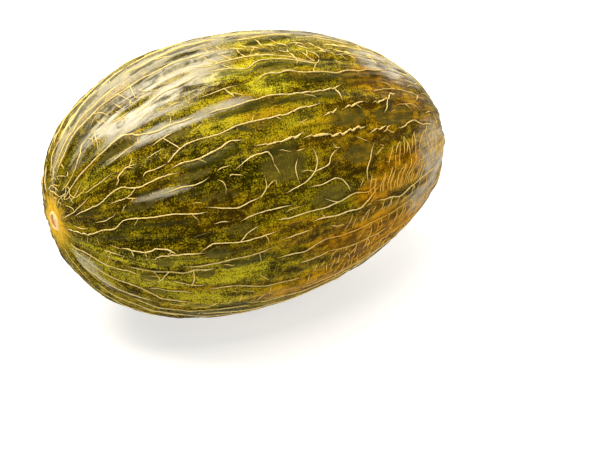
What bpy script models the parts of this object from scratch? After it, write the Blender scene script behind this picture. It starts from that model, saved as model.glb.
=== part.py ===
"""A whole piel de sapo melon lying on its side. Metres, +Z up, stem scar at -X, blossom scar at +X.

The fruit grew as one piece, so it is one closed solid: an egg-shaped body with shallow lengthwise
furrows, a raised corky net, a rimmed stem scar, a small blossom scar and the flat spot it lies on.

A place on the rind is given by two numbers. One is the distance from the stem pole, measured over the
rind. The other is the turn round the fruit's length, from 0 at the underside over the near side (-Y) and
the top to the far side. The net is drawn by a seeded rule in those two numbers.
"""

import math
import random

import bmesh
import bpy
import numpy as np
from mathutils import Vector
from mathutils.geometry import delaunay_2d_cdt

# Body
HALF_LENGTH = 0.130
GIRTH_RADIUS = 0.0885
HEIGHT_SHARE = 0.93  # the fruit is a little lower than it is wide
END_BLUNTNESS = 0.92
STEM_END_FULLNESS = 0.092
END_DROOP = 0.0016
END_SWAY = 0.0012
REST_SPOT_DEPTH = 0.0023
PROFILE_STEPS = 4001

# Furrows: how many go round, depth, how far one wanders sideways along the fruit, where it starts
FURROWS = (
    (11, 0.00050, 0.9, 0.4),
    (23, 0.00036, 1.6, 2.1),
    (41, 0.00026, 2.4, 4.4),
)
FURROW_FULL_RADIUS = 0.045  # they fade where the fruit is thinner than this
FURROW_WAVES = 0.8  # sideways waves from pole to pole
FURROW_DEPTH_AT_POLES = (1.2, 0.8)  # deeper toward the stem end
FURROW_SCAR_FADE = 0.012  # none runs into a scar's rim

# Scars: distance from the pole and height of the rind there, from the middle outwards
STEM_SCAR = (
    (0.0, -0.0009),
    (0.0024, -0.0012),
    (0.0040, -0.0006),
    (0.0051, 0.0009),
    (0.0063, 0.0003),
    (0.0082, 0.0),
)
BLOSSOM_SCAR = (
    (0.0, -0.0002),
    (0.0017, -0.0006),
    (0.0031, 0.0005),
    (0.0048, 0.0),
)
STEM_RING_SIDES = 28
BLOSSOM_RING_SIDES = 20

# Net
NET_SEED = 23
TRACKS = 46
TRACK_START = (0.013, 0.044, 0.026, 0.044)  # first, second, third and fourth track, then again
TRACK_END = (0.012, 0.040, 0.026, 0.040)
STROKE_STEP = 0.0085
THREAD_STEP = 0.0050
TIP_LENGTH = 0.0042  # a stroke rises to its full height over this length
STROKE_HALF_WIDTH = 0.00115
STROKE_HEIGHT = 0.00095
THREAD_HALF_WIDTH = 0.00095
THREAD_HEIGHT = 0.00080
CORKY_ABOVE = 0.00012  # a triangle is cork where the net is higher than this at its middle
ZIGZAG = 0.0010
BOW = 0.0016
CLEARANCE = 0.0032
SEAM_MARGIN = 0.0035
STEM_MARGIN = 0.0105
BLOSSOM_MARGIN = 0.0075
TIE_REACH = 1.3  # a stroke ties into a knot this many clearances away
TIE_ROOM = 0.45  # and the run to that knot keeps this many clearances from every other stroke

# The chief strokes of the near side: how bold each is, then millimetres from the stem pole and degrees
# round at each bend. The seeded rule makes them zigzag, and it draws the rest of the net.
NEAR_STROKES = (
    (1.0, (13, 122), (30, 126), (46, 134)),
    (1.1, (27, 121), (44, 125), (66, 130), (74, 128), (100, 128)),
    (1.3, (96, 131), (120, 132), (133, 134), (141, 133)),
    (0.9, (80, 131), (82, 133), (96, 134)),
    (1.1, (96, 135), (105, 138), (133, 139), (164, 139), (186, 140), (196, 140)),
    (0.9, (62, 147), (70, 147), (85, 148)),
    (1.3, (24, 150), (45, 154), (79, 155), (97, 150), (122, 149)),
    (1.2, (125, 148), (160, 148), (204, 146), (217, 148)),
    (0.9, (126, 156), (152, 156)),
    (1.3, (162, 155), (171, 158), (186, 157), (218, 154), (243, 156), (262, 158)),
    (1.1, (90, 163), (112, 166), (137, 168)),
    (1.1, (140, 168), (163, 164), (179, 167), (197, 163), (207, 160), (213, 164)),
    (0.9, (185, 168), (208, 162)),
    (1.0, (24, 154), (40, 160), (51, 165), (55, 173), (61, 172)),
    (0.9, (67, 174), (62, 158)),
    (1.2, (22, 190), (40, 191), (75, 188), (98, 187)),
    (1.1, (30, 183), (55, 184), (100, 181), (160, 181)),
    (1.1, (16, 100), (48, 105), (56, 106), (62, 111), (80, 111), (92, 110), (110, 109)),
    (1.0, (109, 111), (128, 108), (141, 110)),
    (0.8, (24, 109), (38, 106)),
    (0.9, (40, 112), (51, 114), (60, 118)),
    (0.8, (54, 121), (75, 126)),
    (0.8, (64, 133), (69, 138), (75, 140), (80, 139)),
    (1.0, (41, 137), (54, 138), (65, 141)),
    (0.9, (27, 141), (35, 143), (45, 149)),
    (0.8, (84, 139), (97, 141)),
    (0.9, (90, 144), (107, 146)),
    (1.1, (57, 93), (87, 93), (90, 91)),
    (1.1, (73, 88), (85, 90), (106, 91)),
    (1.0, (103, 91), (110, 95), (134, 93), (148, 95)),
    (1.1, (94, 84), (119, 85), (146, 88)),
    (1.1, (58, 79), (95, 80), (99, 82), (112, 82)),
    (1.1, (18, 72), (40, 76), (70, 75)),
    (1.1, (36, 66), (63, 65), (83, 60), (103, 59)),
    (0.9, (75, 65), (79, 67), (101, 66)),
    (1.1, (30, 57), (58, 55), (80, 53)),
    (0.8, (100, 99), (110, 100)),
    (1.0, (88, 121), (108, 122), (115, 123)),
    (0.8, (119, 121), (122, 119), (122, 114)),
    (1.1, (130, 123), (140, 125), (149, 127), (153, 126), (153, 121)),
    (1.4, (145, 130), (156, 129), (178, 130)),
    (0.8, (146, 118), (146, 113), (141, 111)),
    (1.0, (127, 102), (140, 104), (159, 104)),
    (1.0, (156, 109), (171, 111), (178, 114), (181, 119), (178, 124)),
    (0.9, (166, 111), (165, 117), (168, 121)),
    (0.9, (179, 114), (187, 116), (190, 119), (197, 121)),
    (0.9, (191, 115), (202, 118)),
    (1.0, (171, 109), (190, 109), (196, 106), (199, 102)),
    (1.0, (180, 103), (189, 100), (203, 101), (213, 99), (222, 102)),
    (1.1, (170, 95), (205, 94), (216, 97), (224, 101)),
    (1.0, (150, 91), (171, 92)),
    (1.1, (148, 82), (167, 82), (178, 84), (209, 83), (240, 82), (262, 83)),
    (1.0, (182, 78), (205, 76), (232, 75)),
    (1.1, (218, 94), (240, 90), (262, 92), (286, 92)),
    (0.9, (225, 120), (219, 115), (214, 108), (213, 102)),
    (1.2, (193, 135), (206, 137)),
    (1.3, (208, 136), (229, 138)),
    (1.2, (232, 137), (246, 138), (258, 142)),
    (0.9, (210, 146), (211, 140)),
    (1.5, (175, 128), (196, 126), (213, 127), (222, 127)),
    (1.2, (221, 124), (240, 125)),
    (1.0, (245, 123), (262, 125), (290, 121)),
    (0.9, (259, 145), (280, 141)),
    (0.9, (252, 135), (269, 134), (274, 131)),
)
NEAR_FROM = math.radians(50)
NEAR_TO = math.radians(186)
NEAR_JOIN = 0.0022
NEAR_FILL_CLEARANCE = 0.0046

# Fields of short threads: distance from the stem pole, degrees round, half extent along, half extent round
# in degrees, attempts, heading off the fruit's length in degrees, shortest and longest thread
COMBS = (
    ("comb at the near blossom end", 0.248, 105, 0.014, 7, 60, 62, 0.010, 0.017),
    ("threads at the blossom end", 0.278, 106, 0.008, 11, 20, 80, 0.007, 0.012),
    ("comb at the far blossom end", 0.262, 236, 0.018, 12, 60, 100, 0.009, 0.016),
)
FIELDS = (
    ("ladder above the stem scar", 0.027, 173, 0.010, 27, 40, 85, 0.004, 0.008),
    ("ticks on the near shoulder", 0.090, 170, 0.018, 4, 14, 110, 0.004, 0.006),
    ("slanting ticks on the crown", 0.190, 174, 0.055, 7, 44, -50, 0.007, 0.013),
    ("ticks low on the near side", 0.205, 69, 0.024, 5, 30, 86, 0.005, 0.008),
    ("mesh low at the blossom end", 0.240, 72, 0.024, 11, 50, 75, 0.005, 0.009),
    ("ladder behind the stem scar", 0.040, 262, 0.016, 22, 22, 80, 0.005, 0.010),
    ("forks on the far side", 0.150, 276, 0.060, 24, 34, 58, 0.006, 0.014),
    ("forks on the back shoulder", 0.205, 222, 0.045, 18, 26, 55, 0.006, 0.014),
)
HEADING_SPREAD = 16
LOOSE_THREADS = 70
FORK_SHARE = 0.30

# Triangles
FILL_SPACING = 0.0094
FILL_CLEARANCE = 0.0042
FOOT_CLEARANCE = 0.0005
WEB_SAG = 0.00027  # a triangle that hangs higher than this over the rind gets a place in its middle
WEB_CLEARANCE = 0.0012
WEB_PASSES = 2

FULL_TURN = 2.0 * math.pi
SMALL_STEP = 1e-4
SAME_PLACE = 1e-5
NOWHERE = np.full((1, 3), 1000.0)


def body_profile():
    """Station, radius, distance over the rind and stretched distance at many places between the poles."""
    angle = np.linspace(0.0, math.pi, PROFILE_STEPS)
    station = -np.cos(angle)
    radius = GIRTH_RADIUS * np.sin(angle).clip(0.0) ** END_BLUNTNESS * (1.0 - STEM_END_FULLNESS * station)
    pieces = np.hypot(HALF_LENGTH * np.diff(station), np.diff(radius))
    distance = np.concatenate(([0.0], np.cumsum(pieces)))
    stretched = np.concatenate(([0.0], np.cumsum(pieces / (0.5 * (radius[1:] + radius[:-1])))))
    return station, radius, distance, stretched


STATION, RADIUS, DISTANCE, STRETCHED = body_profile()
POLE_TO_POLE = DISTANCE[-1]


def radius_at(distance):
    return np.interp(distance, DISTANCE, RADIUS)


def body_point(distance, turn):
    """A point of the smooth body, before furrows and net."""
    station = np.interp(distance, DISTANCE, STATION)
    radius = radius_at(distance)
    bend = station**2
    x = HALF_LENGTH * station
    y = -radius * np.sin(turn) - END_SWAY * bend
    z = -radius * HEIGHT_SHARE * np.cos(turn) - END_DROOP * bend
    return np.stack([x, y, z], axis=-1)


def outward(distance, turn):
    """The smooth body's outward direction."""
    lengthwise = body_point(distance + SMALL_STEP, turn) - body_point(distance - SMALL_STEP, turn)
    crosswise = np.stack([np.zeros_like(turn), -np.cos(turn), HEIGHT_SHARE * np.sin(turn)], axis=-1)
    normal = np.cross(lengthwise, crosswise)
    return normal / np.linalg.norm(normal, axis=-1, keepdims=True)


def furrow_height(distance, turn):
    """Rounded ribs with furrows between them. They wander, and they fade at both ends."""
    share = distance / POLE_TO_POLE
    height = np.zeros_like(distance)
    for count, depth, wander, start in FURROWS:
        sideways = wander * np.sin(FULL_TURN * share * FURROW_WAVES + start)
        height += depth * np.cos(count * turn + start + sideways)
    height *= np.interp(share, (0.0, 1.0), FURROW_DEPTH_AT_POLES)
    height *= np.minimum(1.0, radius_at(distance) / FURROW_FULL_RADIUS)
    from_scar = np.minimum(distance - STEM_SCAR[-1][0], POLE_TO_POLE - BLOSSOM_SCAR[-1][0] - distance)
    return height * (from_scar / FURROW_SCAR_FADE).clip(0.0, 1.0)


def scar_height(distance):
    """Height of the rind in a scar: a sunk middle inside a raised rim. It is nothing away from the scars."""
    stem_at, stem_height = zip(*STEM_SCAR)
    blossom_at, blossom_height = zip(*BLOSSOM_SCAR)
    stem = np.interp(distance, stem_at, stem_height)
    return stem + np.interp(POLE_TO_POLE - distance, blossom_at, blossom_height)


def halfway(here, there):
    return tuple(0.5 * (a + b) for a, b in zip(here, there))


class Net:
    """The strokes laid so far. Each is a path of places, with its half width and its height."""

    def __init__(self, clearance):
        self.clearance = clearance
        self.strokes = []
        self.samples = NOWHERE
        self.knots = NOWHERE
        self.knot_places = [(0.0, 0.0)]

    def room(self, place):
        """How far a place is from the nearest stroke."""
        point = body_point(np.array(place[0]), np.array(place[1]))
        return np.linalg.norm(self.samples - point, axis=1).min()

    def on_rind(self, place):
        """Whether a place keeps clear of both scars and of the line along the underside where turns begin."""
        distance, turn = place
        margin = SEAM_MARGIN / radius_at(distance)
        clear_of_scars = STEM_MARGIN < distance < POLE_TO_POLE - BLOSSOM_MARGIN
        return clear_of_scars and margin < turn < FULL_TURN - margin

    def nearest_knot(self, place):
        point = body_point(np.array(place[0]), np.array(place[1]))
        gaps = np.linalg.norm(self.knots - point, axis=1)
        return self.knot_places[int(gaps.argmin())], gaps.min()

    def lay(self, path, half_width, height, joined=False, shortest=2, clearance=None):
        """Lays a stroke as far as there is room for it. One that reaches another stroke ties into it."""
        clearance = clearance or self.clearance
        kept = [path[0]]
        tied = False
        if not self.on_rind(path[0]) or (not joined and self.room(path[0]) < clearance):
            return False
        for place in path[1:]:
            if not self.on_rind(place):
                break
            if self.room(place) < clearance:
                knot, gap = self.nearest_knot(place)
                if gap < TIE_REACH * self.clearance and knot not in kept and self.reaches(kept[-1], knot):
                    kept.append(knot)
                    tied = True
                break
            kept.append(place)
        if len(kept) < shortest + 1:
            return False
        self.keep(kept, half_width, height, joined, tied)
        return True

    def lay_whole(self, path, half_width, height):
        """Lays a stroke from end to end. An end that comes near another stroke is drawn onto it."""
        meets = []
        for end in (0, -1):
            knot, gap = self.nearest_knot(path[end])
            meets.append(gap < NEAR_JOIN)
            if meets[-1]:
                path[end] = knot
        self.keep(path, half_width, height, *meets)

    def keep(self, path, half_width, height, joined, tied):
        if joined:
            path.insert(1, halfway(path[0], path[1]))
        if tied:
            path.insert(-1, halfway(path[-2], path[-1]))
        self.strokes.append((path, half_width, height, joined, tied))
        self.remember(path)

    def reaches(self, here, there):
        """Whether a straight run from here to there keeps clear of other strokes for its first half."""
        middle = halfway(here, there)
        return min(self.room(middle), self.room(halfway(here, middle))) > TIE_ROOM * self.clearance

    def remember(self, path):
        """Notes where a stroke runs, at its places and three times between them."""
        places = np.array(path)
        steps = np.linspace(0.0, len(path) - 1.0, 4 * len(path) - 3)
        distance = np.interp(steps, np.arange(len(path)), places[:, 0])
        turn = np.interp(steps, np.arange(len(path)), places[:, 1])
        self.samples = np.concatenate([self.samples, body_point(distance, turn)])
        self.knots = np.concatenate([self.knots, body_point(places[:, 0], places[:, 1])])
        self.knot_places += path


def lengthwise_path(draw, track_turn, start, end, lean, offset):
    """A stroke along one track: it leans across the track, bows a little and zigzags."""
    inner = max(1, round((end - start - 2 * TIP_LENGTH) / STROKE_STEP))
    stations = [start, *np.linspace(start + TIP_LENGTH, end - TIP_LENGTH, inner + 1), end]
    bow = draw.uniform(-BOW, BOW)
    path = []
    for distance in stations:
        share = (distance - start) / (end - start)
        sideways = draw.uniform(-ZIGZAG, ZIGZAG) + bow * math.sin(2.0 * math.pi * share)
        across = (offset + lean * (share - 0.5)) * FULL_TURN / TRACKS
        path.append((float(distance), track_turn + across + sideways / float(radius_at(distance))))
    return path


def bent_path(draw, bends, step):
    """A stroke through given bends. It zigzags a little between them."""
    path = []
    for (d0, t0), (d1, t1) in zip(bends, bends[1:]):
        radius = float(radius_at(0.5 * (d0 + d1)))
        along, across = d1 - d0, (t1 - t0) * radius
        length = math.hypot(along, across)
        count = max(1, round(length / step))
        for index in range(count):
            share = index / count
            sideways = draw.uniform(-ZIGZAG, ZIGZAG) / length if path else 0.0
            distance = d0 + share * along - sideways * across
            path.append((distance, t0 + (share * across + sideways * along) / radius))
    path.append(bends[-1])
    return path


def wandering_path(draw, place, heading, length, step):
    """A short thread that sets out at an angle to the fruit's length and curls as it goes."""
    distance, turn = place
    path = [place]
    curl = draw.uniform(-0.35, 0.35)
    for _ in range(max(2, round(length / step))):
        heading += curl + draw.uniform(-0.25, 0.25)
        distance += step * math.cos(heading)
        turn += step * math.sin(heading) / float(radius_at(distance))
        path.append((distance, turn))
    return path


def lay_near_strokes(net, draw):
    for boldness, *bends in NEAR_STROKES:
        places = [(0.001 * millimetres, math.radians(degrees)) for millimetres, degrees in bends]
        path = bent_path(draw, places, STROKE_STEP)
        net.lay_whole(path, STROKE_HALF_WIDTH * boldness, STROKE_HEIGHT * boldness)


def lay_lengthwise_strokes(net, draw):
    """Broken lines from the stem end to the blossom end, each stroke stepping aside from the last."""
    for track in range(TRACKS):
        track_turn = FULL_TURN * (track + 0.5 + draw.uniform(-0.16, 0.16)) / TRACKS
        start = TRACK_START[track % 4] + draw.uniform(0.0, 0.006)
        stop = POLE_TO_POLE - TRACK_END[track % 4] - draw.uniform(0.0, 0.006)
        side = draw.choice((-1, 1))
        clearance = NEAR_FILL_CLEARANCE if NEAR_FROM < track_turn < NEAR_TO else CLEARANCE
        while start < stop - 2 * STROKE_STEP:
            end = min(start + draw.triangular(0.024, 0.110, 0.050), stop)
            lean = draw.uniform(-0.34, 0.34)
            path = lengthwise_path(draw, track_turn, start, end, lean, 0.20 * side)
            boldness = draw.uniform(0.8, 1.2)
            net.lay(path, STROKE_HALF_WIDTH * boldness, STROKE_HEIGHT * boldness, clearance=clearance)
            start = end + draw.triangular(-0.012, 0.016, -0.003)
            side = -side


def lay_forks(net, draw):
    """Side branches that leave a stroke at a slant. Many reach the next stroke and tie into it."""
    for path, *_ in list(net.strokes):
        if draw.random() < FORK_SHARE and len(path) > 3:
            place = path[draw.randrange(1, len(path) - 1)]
            heading = draw.choice((-1, 1)) * math.radians(draw.uniform(28, 75)) + draw.choice((0, math.pi))
            branch = wandering_path(draw, place, heading, draw.uniform(0.008, 0.020), THREAD_STEP)
            net.lay(branch, THREAD_HALF_WIDTH, THREAD_HEIGHT, joined=True)


def lay_fields(net, draw, fields):
    """Crowds of short threads where the rind has stretched more, each field with its own heading."""
    for _, middle, degrees, half_along, half_round, attempts, slant, shortest, longest in fields:
        for _ in range(attempts):
            distance = middle + draw.uniform(-half_along, half_along)
            turn = math.radians(degrees + draw.uniform(-half_round, half_round))
            heading = math.radians(slant + draw.uniform(-HEADING_SPREAD, HEADING_SPREAD))
            length = draw.uniform(shortest, longest)
            path = wandering_path(draw, (distance, turn), heading, length, THREAD_STEP)
            net.lay(path, THREAD_HALF_WIDTH, THREAD_HEIGHT, shortest=1)


def lay_loose_threads(net, draw):
    """Single short threads, anywhere on the rind."""
    for _ in range(LOOSE_THREADS):
        distance = draw.uniform(0.03, POLE_TO_POLE - 0.02)
        turn = draw.uniform(0.0, FULL_TURN)
        heading = math.radians(draw.choice((20, 50, 90, 130, 160)) + draw.uniform(-15, 15))
        path = wandering_path(draw, (distance, turn), heading, draw.uniform(0.006, 0.013), THREAD_STEP)
        net.lay(path, THREAD_HALF_WIDTH, THREAD_HEIGHT, shortest=1)


def grown_net():
    net = Net(CLEARANCE)
    draw = random.Random(NET_SEED)
    lay_fields(net, draw, COMBS)
    lay_near_strokes(net, draw)
    lay_lengthwise_strokes(net, draw)
    lay_forks(net, draw)
    lay_fields(net, draw, FIELDS)
    lay_loose_threads(net, draw)
    return net


def tapers(path, joined, tied):
    """How full the stroke is at each of its places: nothing at a free end, full at a join."""
    full = np.ones(len(path))
    full[0] = 1.0 if joined else 0.0
    full[-1] = 1.0 if tied else 0.0
    return full


def net_height(distance, turn, strokes):
    """Height of the net at many places: a ridge with straight flanks along every stroke."""
    height = np.zeros_like(distance)
    radius = radius_at(distance)
    for path, half_width, top, joined, tied in strokes:
        full = tapers(path, joined, tied)
        for index in range(len(path) - 1):
            (d0, t0), (d1, t1) = path[index], path[index + 1]
            span = math.hypot(d1 - d0, (t1 - t0) * float(radius_at(d0))) + half_width
            near = np.nonzero(
                (np.abs(distance - d0) < span + half_width) & (np.abs(turn - t0) * radius < span + half_width)
            )[0]
            local = radius[near]
            along = np.stack([np.full_like(local, d1 - d0), (t1 - t0) * local])
            offset = np.stack([distance[near] - d0, (turn[near] - t0) * local])
            share = ((along * offset).sum(axis=0) / (along**2).sum(axis=0)).clip(0.0, 1.0)
            away = np.hypot(*(offset - share * along))
            fullness = full[index] + share * (full[index + 1] - full[index])
            reach = half_width * (0.2 + 0.8 * fullness)
            ridge = top * fullness * (1.0 - away / reach).clip(0.0)
            height[near] = np.maximum(height[near], ridge)
    return height


def flat_place(distance, turn):
    """The place on a flat map that keeps angles true, so that even triangles there are even on the rind."""
    return float(np.interp(distance, DISTANCE, STRETCHED)), float(turn)


def foot_lines(path, half_width):
    """The two lines where a stroke's flanks meet the rind, beside its inner places."""
    feet = ([], [])
    for index in range(1, len(path) - 1):
        distance, turn = path[index]
        radius = float(radius_at(distance))
        along = path[index + 1][0] - path[index - 1][0]
        across = (path[index + 1][1] - path[index - 1][1]) * radius
        size = math.hypot(along, across)
        for line, side in zip(feet, (1, -1)):
            shift = side * half_width / size
            line.append((distance - shift * across, turn + shift * along / radius))
    return feet


def far_from(point, points, gap):
    return np.linalg.norm(points - point, axis=1).min() > gap


def map_points(net, stem_edge, blossom_edge):
    """Places and lines of the flat map: its border, each stroke's crest and feet, and fill between them."""
    places = []
    lines = []

    def add_line(line):
        first = len(places)
        places.extend(line)
        lines.extend((first + k, first + k + 1) for k in range(len(line) - 1))

    seam_count = round((blossom_edge - stem_edge) / FILL_SPACING)
    seam = [float(d) for d in np.linspace(stem_edge, blossom_edge, seam_count + 1)]
    add_line([(stem_edge, FULL_TURN * k / STEM_RING_SIDES) for k in range(STEM_RING_SIDES + 1)])
    add_line([(blossom_edge, FULL_TURN * k / BLOSSOM_RING_SIDES) for k in range(BLOSSOM_RING_SIDES + 1)])
    add_line([(d, 0.0) for d in seam])
    add_line([(d, FULL_TURN) for d in seam])

    for path, *_ in net.strokes:
        add_line(path)
    taken = body_point(np.array([p[0] for p in places]), np.array([p[1] for p in places]))
    for path, half_width, _, joined, tied in net.strokes:
        for feet in foot_lines(path, half_width):
            line = [] if joined else [path[0]]
            for place in feet:
                point = body_point(np.array(place[0]), np.array(place[1]))
                if far_from(point, taken, FOOT_CLEARANCE):
                    line.append(place)
                    taken = np.concatenate([taken, point[None]])
                else:
                    add_line(line)
                    line = []
            add_line(line if tied else line + [path[-1]])

    row_height = FILL_SPACING * math.sqrt(3) / 2
    for row in range(1, int((blossom_edge - stem_edge) / row_height)):
        distance = stem_edge + row * row_height
        count = max(6, round(FULL_TURN * float(radius_at(distance)) / FILL_SPACING))
        for k in range(count):
            turn = FULL_TURN * (k + 0.25 + 0.5 * (row % 2)) / count
            point = body_point(np.array(distance), np.array(turn))
            if far_from(point, taken, FILL_CLEARANCE):
                places.append((distance, turn))
    return places, lines


def cut_map(places, lines):
    """Triangles between all the places, with every line kept as edges."""
    flat = [Vector(flat_place(*place)) for place in places]
    corners, _, triangles, *_ = delaunay_2d_cdt(flat, lines, [], 0, SAME_PLACE)
    distance = np.interp([corner.x for corner in corners], STRETCHED, DISTANCE)
    turn = np.array([corner.y for corner in corners])
    return distance, turn, np.array(triangles)


def middles(distance, turn, triangles):
    return distance[triangles].mean(axis=1), turn[triangles].mean(axis=1)


def web_places(distance, turn, triangles, strokes):
    """Middles of the triangles that would hang like a web from one stroke to the next."""
    middle_distance, middle_turn = middles(distance, turn, triangles)
    hanging = net_height(distance, turn, strokes)[triangles].mean(axis=1)
    sag = hanging - net_height(middle_distance, middle_turn, strokes)
    taken = body_point(distance, turn)
    places = []
    for index in np.nonzero(sag > WEB_SAG)[0]:
        point = body_point(middle_distance[index], middle_turn[index])
        if far_from(point, taken, WEB_CLEARANCE):
            places.append((float(middle_distance[index]), float(middle_turn[index])))
            taken = np.concatenate([taken, point[None]])
    return places


def rind_triangles(net, stem_edge, blossom_edge):
    """Triangles between the two scars, welded along the underside: places, index triples, which are cork."""
    places, lines = map_points(net, stem_edge, blossom_edge)
    for _ in range(WEB_PASSES):
        places += web_places(*cut_map(places, lines), net.strokes)
    distance, turn, triangles = cut_map(places, lines)
    corky = net_height(*middles(distance, turn, triangles), net.strokes) > CORKY_ABOVE
    at_seam = np.nonzero(turn < SAME_PLACE)[0]
    target = np.arange(len(turn))
    for index in np.nonzero(turn > FULL_TURN - SAME_PLACE)[0]:
        target[index] = at_seam[np.abs(distance[at_seam] - distance[index]).argmin()]
    return distance, turn, target[triangles].tolist(), corky.tolist()


def close_end(mesh, edge_ring, scar, sides, from_blossom):
    """Fills a scar with rings of points down to its middle."""
    outer = edge_ring
    for away, _ in reversed(scar[1:-1]):
        distance = np.full(sides, POLE_TO_POLE - away if from_blossom else away)
        turn = FULL_TURN * np.arange(sides) / sides
        height = scar_height(distance)
        points = body_point(distance, turn) + outward(distance, turn) * height[:, None]
        inner = [mesh.verts.new(point) for point in points]
        for k in range(sides):
            after = (k + 1) % sides
            corners = (outer[k], outer[after], inner[after], inner[k])
            mesh.faces.new(corners[::-1] if from_blossom else corners)
        outer = inner
    pole = np.array(POLE_TO_POLE if from_blossom else 0.0)
    middle_point = body_point(pole, np.array(0.0)) + outward(pole, np.array(0.0)) * scar_height(pole)
    middle = mesh.verts.new(middle_point)
    for k in range(sides):
        corners = (outer[k], outer[(k + 1) % sides], middle)
        mesh.faces.new(corners[::-1] if from_blossom else corners)


def ring_at(rind, distance, turn, edge, sides):
    """The rind's own points along the edge of a scar, in order of their turn."""
    ring = []
    for k in range(sides):
        gap = np.abs(distance - edge) + np.abs(turn - FULL_TURN * k / sides)
        ring.append(rind[int(gap.argmin())])
    return ring


def melon_mesh():
    stem_edge = STEM_SCAR[-1][0]
    blossom_edge = POLE_TO_POLE - BLOSSOM_SCAR[-1][0]
    net = grown_net()
    distance, turn, triangles, corky = rind_triangles(net, stem_edge, blossom_edge)
    height = furrow_height(distance, turn) + net_height(distance, turn, net.strokes)
    points = body_point(distance, turn) + outward(distance, turn) * height[:, None]

    mesh = bmesh.new()
    rind = [mesh.verts.new(point) for point in points]
    for triangle, is_cork in zip(triangles, corky):
        face = mesh.faces.new([rind[k] for k in triangle])
        face.material_index = int(is_cork)
    stem_ring = ring_at(rind, distance, turn, stem_edge, STEM_RING_SIDES)
    close_end(mesh, stem_ring, STEM_SCAR, STEM_RING_SIDES, False)
    blossom_ring = ring_at(rind, distance, turn, blossom_edge, BLOSSOM_RING_SIDES)
    close_end(mesh, blossom_ring, BLOSSOM_SCAR, BLOSSOM_RING_SIDES, True)
    for vertex in [v for v in mesh.verts if not v.link_faces]:
        mesh.verts.remove(vertex)
    return mesh


def settle(mesh):
    """Flattens the spot that the fruit lies on, and puts the middle of that underside at the origin."""
    lowest = min(v.co.z for v in mesh.verts)
    floor = lowest + REST_SPOT_DEPTH
    for vertex in mesh.verts:
        vertex.co.z = max(vertex.co.z, floor)
    low = [min(v.co[axis] for v in mesh.verts) for axis in range(3)]
    high = [max(v.co[axis] for v in mesh.verts) for axis in range(3)]
    middle = Vector(((low[0] + high[0]) / 2, (low[1] + high[1]) / 2, floor))
    bmesh.ops.translate(mesh, vec=-middle, verts=mesh.verts)


def finish(name, colour, roughness):
    material = bpy.data.materials.new(name)
    material.use_nodes = True
    shader = material.node_tree.nodes["Principled BSDF"]
    shader.inputs["Base Color"].default_value = (*colour, 1.0)
    shader.inputs["Roughness"].default_value = roughness
    shader.inputs["Metallic"].default_value = 0.0
    return material


def main():
    for obj in list(bpy.data.objects):
        bpy.data.objects.remove(obj)
    mesh = melon_mesh()
    settle(mesh)
    bmesh.ops.triangulate(mesh, faces=mesh.faces)
    data = bpy.data.meshes.new("melon")
    mesh.to_mesh(data)
    mesh.free()
    data.materials.append(finish("rind", (0.13, 0.12, 0.02), 0.38))
    data.materials.append(finish("cork", (0.68, 0.52, 0.25), 0.8))
    data.shade_smooth()
    data.set_sharp_from_angle(angle=math.radians(35))
    melon = bpy.data.objects.new("melon", data)
    bpy.context.scene.collection.objects.link(melon)


main()
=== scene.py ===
"""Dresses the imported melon: waxy rind, corky net, the two scars, and the table, lights and camera around it.

Metres, +Z up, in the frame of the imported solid. The fruit lies along X with its stem scar at -X, and its near
side is -Y. A place on the rind is given by two numbers: the distance from the stem pole, measured over the
rind, and the turn round the fruit's length, from 0 at the underside over the near side and the top to the
far side.
"""

import random
from math import cos, hypot, pi, radians, sin

import bmesh
import bpy
import numpy as np
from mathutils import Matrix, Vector
from mathutils.kdtree import KDTree


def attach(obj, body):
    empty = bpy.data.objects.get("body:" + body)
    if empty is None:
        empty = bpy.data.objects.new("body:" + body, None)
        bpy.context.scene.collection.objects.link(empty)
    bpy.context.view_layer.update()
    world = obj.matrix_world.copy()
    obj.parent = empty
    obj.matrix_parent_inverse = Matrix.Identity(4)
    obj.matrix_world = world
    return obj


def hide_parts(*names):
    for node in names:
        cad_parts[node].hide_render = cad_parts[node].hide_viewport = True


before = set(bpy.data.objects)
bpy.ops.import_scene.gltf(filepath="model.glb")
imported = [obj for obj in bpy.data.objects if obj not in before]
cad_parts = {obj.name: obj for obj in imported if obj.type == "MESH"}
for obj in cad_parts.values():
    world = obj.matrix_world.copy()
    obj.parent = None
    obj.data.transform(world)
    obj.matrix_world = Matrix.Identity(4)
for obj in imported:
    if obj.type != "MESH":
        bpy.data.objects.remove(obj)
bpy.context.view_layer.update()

# Rind
# The green skin of the fruit, waxy and about as smooth as polished leather. It grew as one piece with the
# flesh, with shallow furrows along its length and fine wrinkles in them. Where the fruit outgrew it, it split
# along the lines of the net, and it stands a little proud beside each split.
HALF_LENGTH = 0.130
GIRTH_RADIUS = 0.0885
HEIGHT_SHARE = 0.93  # the fruit is a little lower than it is wide
END_BLUNTNESS = 0.92
STEM_END_FULLNESS = 0.092
END_DROOP = 0.0016
END_SWAY = 0.0012
BODY_CENTRE = np.array((0.00017, 0.00011, 0.08128))
PROFILE_STEPS = 4001
FULL_TURN = 2.0 * pi
SMALL_STEP = 1e-4

# Furrows: how many go round, depth, how far one wanders sideways along the fruit, where it starts
FURROWS = (
    (11, 0.00050, 0.9, 0.4),
    (23, 0.00036, 1.6, 2.1),
    (41, 0.00026, 2.4, 4.4),
)
FURROW_FULL_RADIUS = 0.045
FURROW_WAVES = 0.8
FURROW_DEPTH_AT_POLES = (1.2, 0.8)
SCAR_BED_RADIUS = 0.0066
SCAR_BED_DEPTH = 0.0022
FURROW_SCAR_FADE = 0.012


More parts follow.
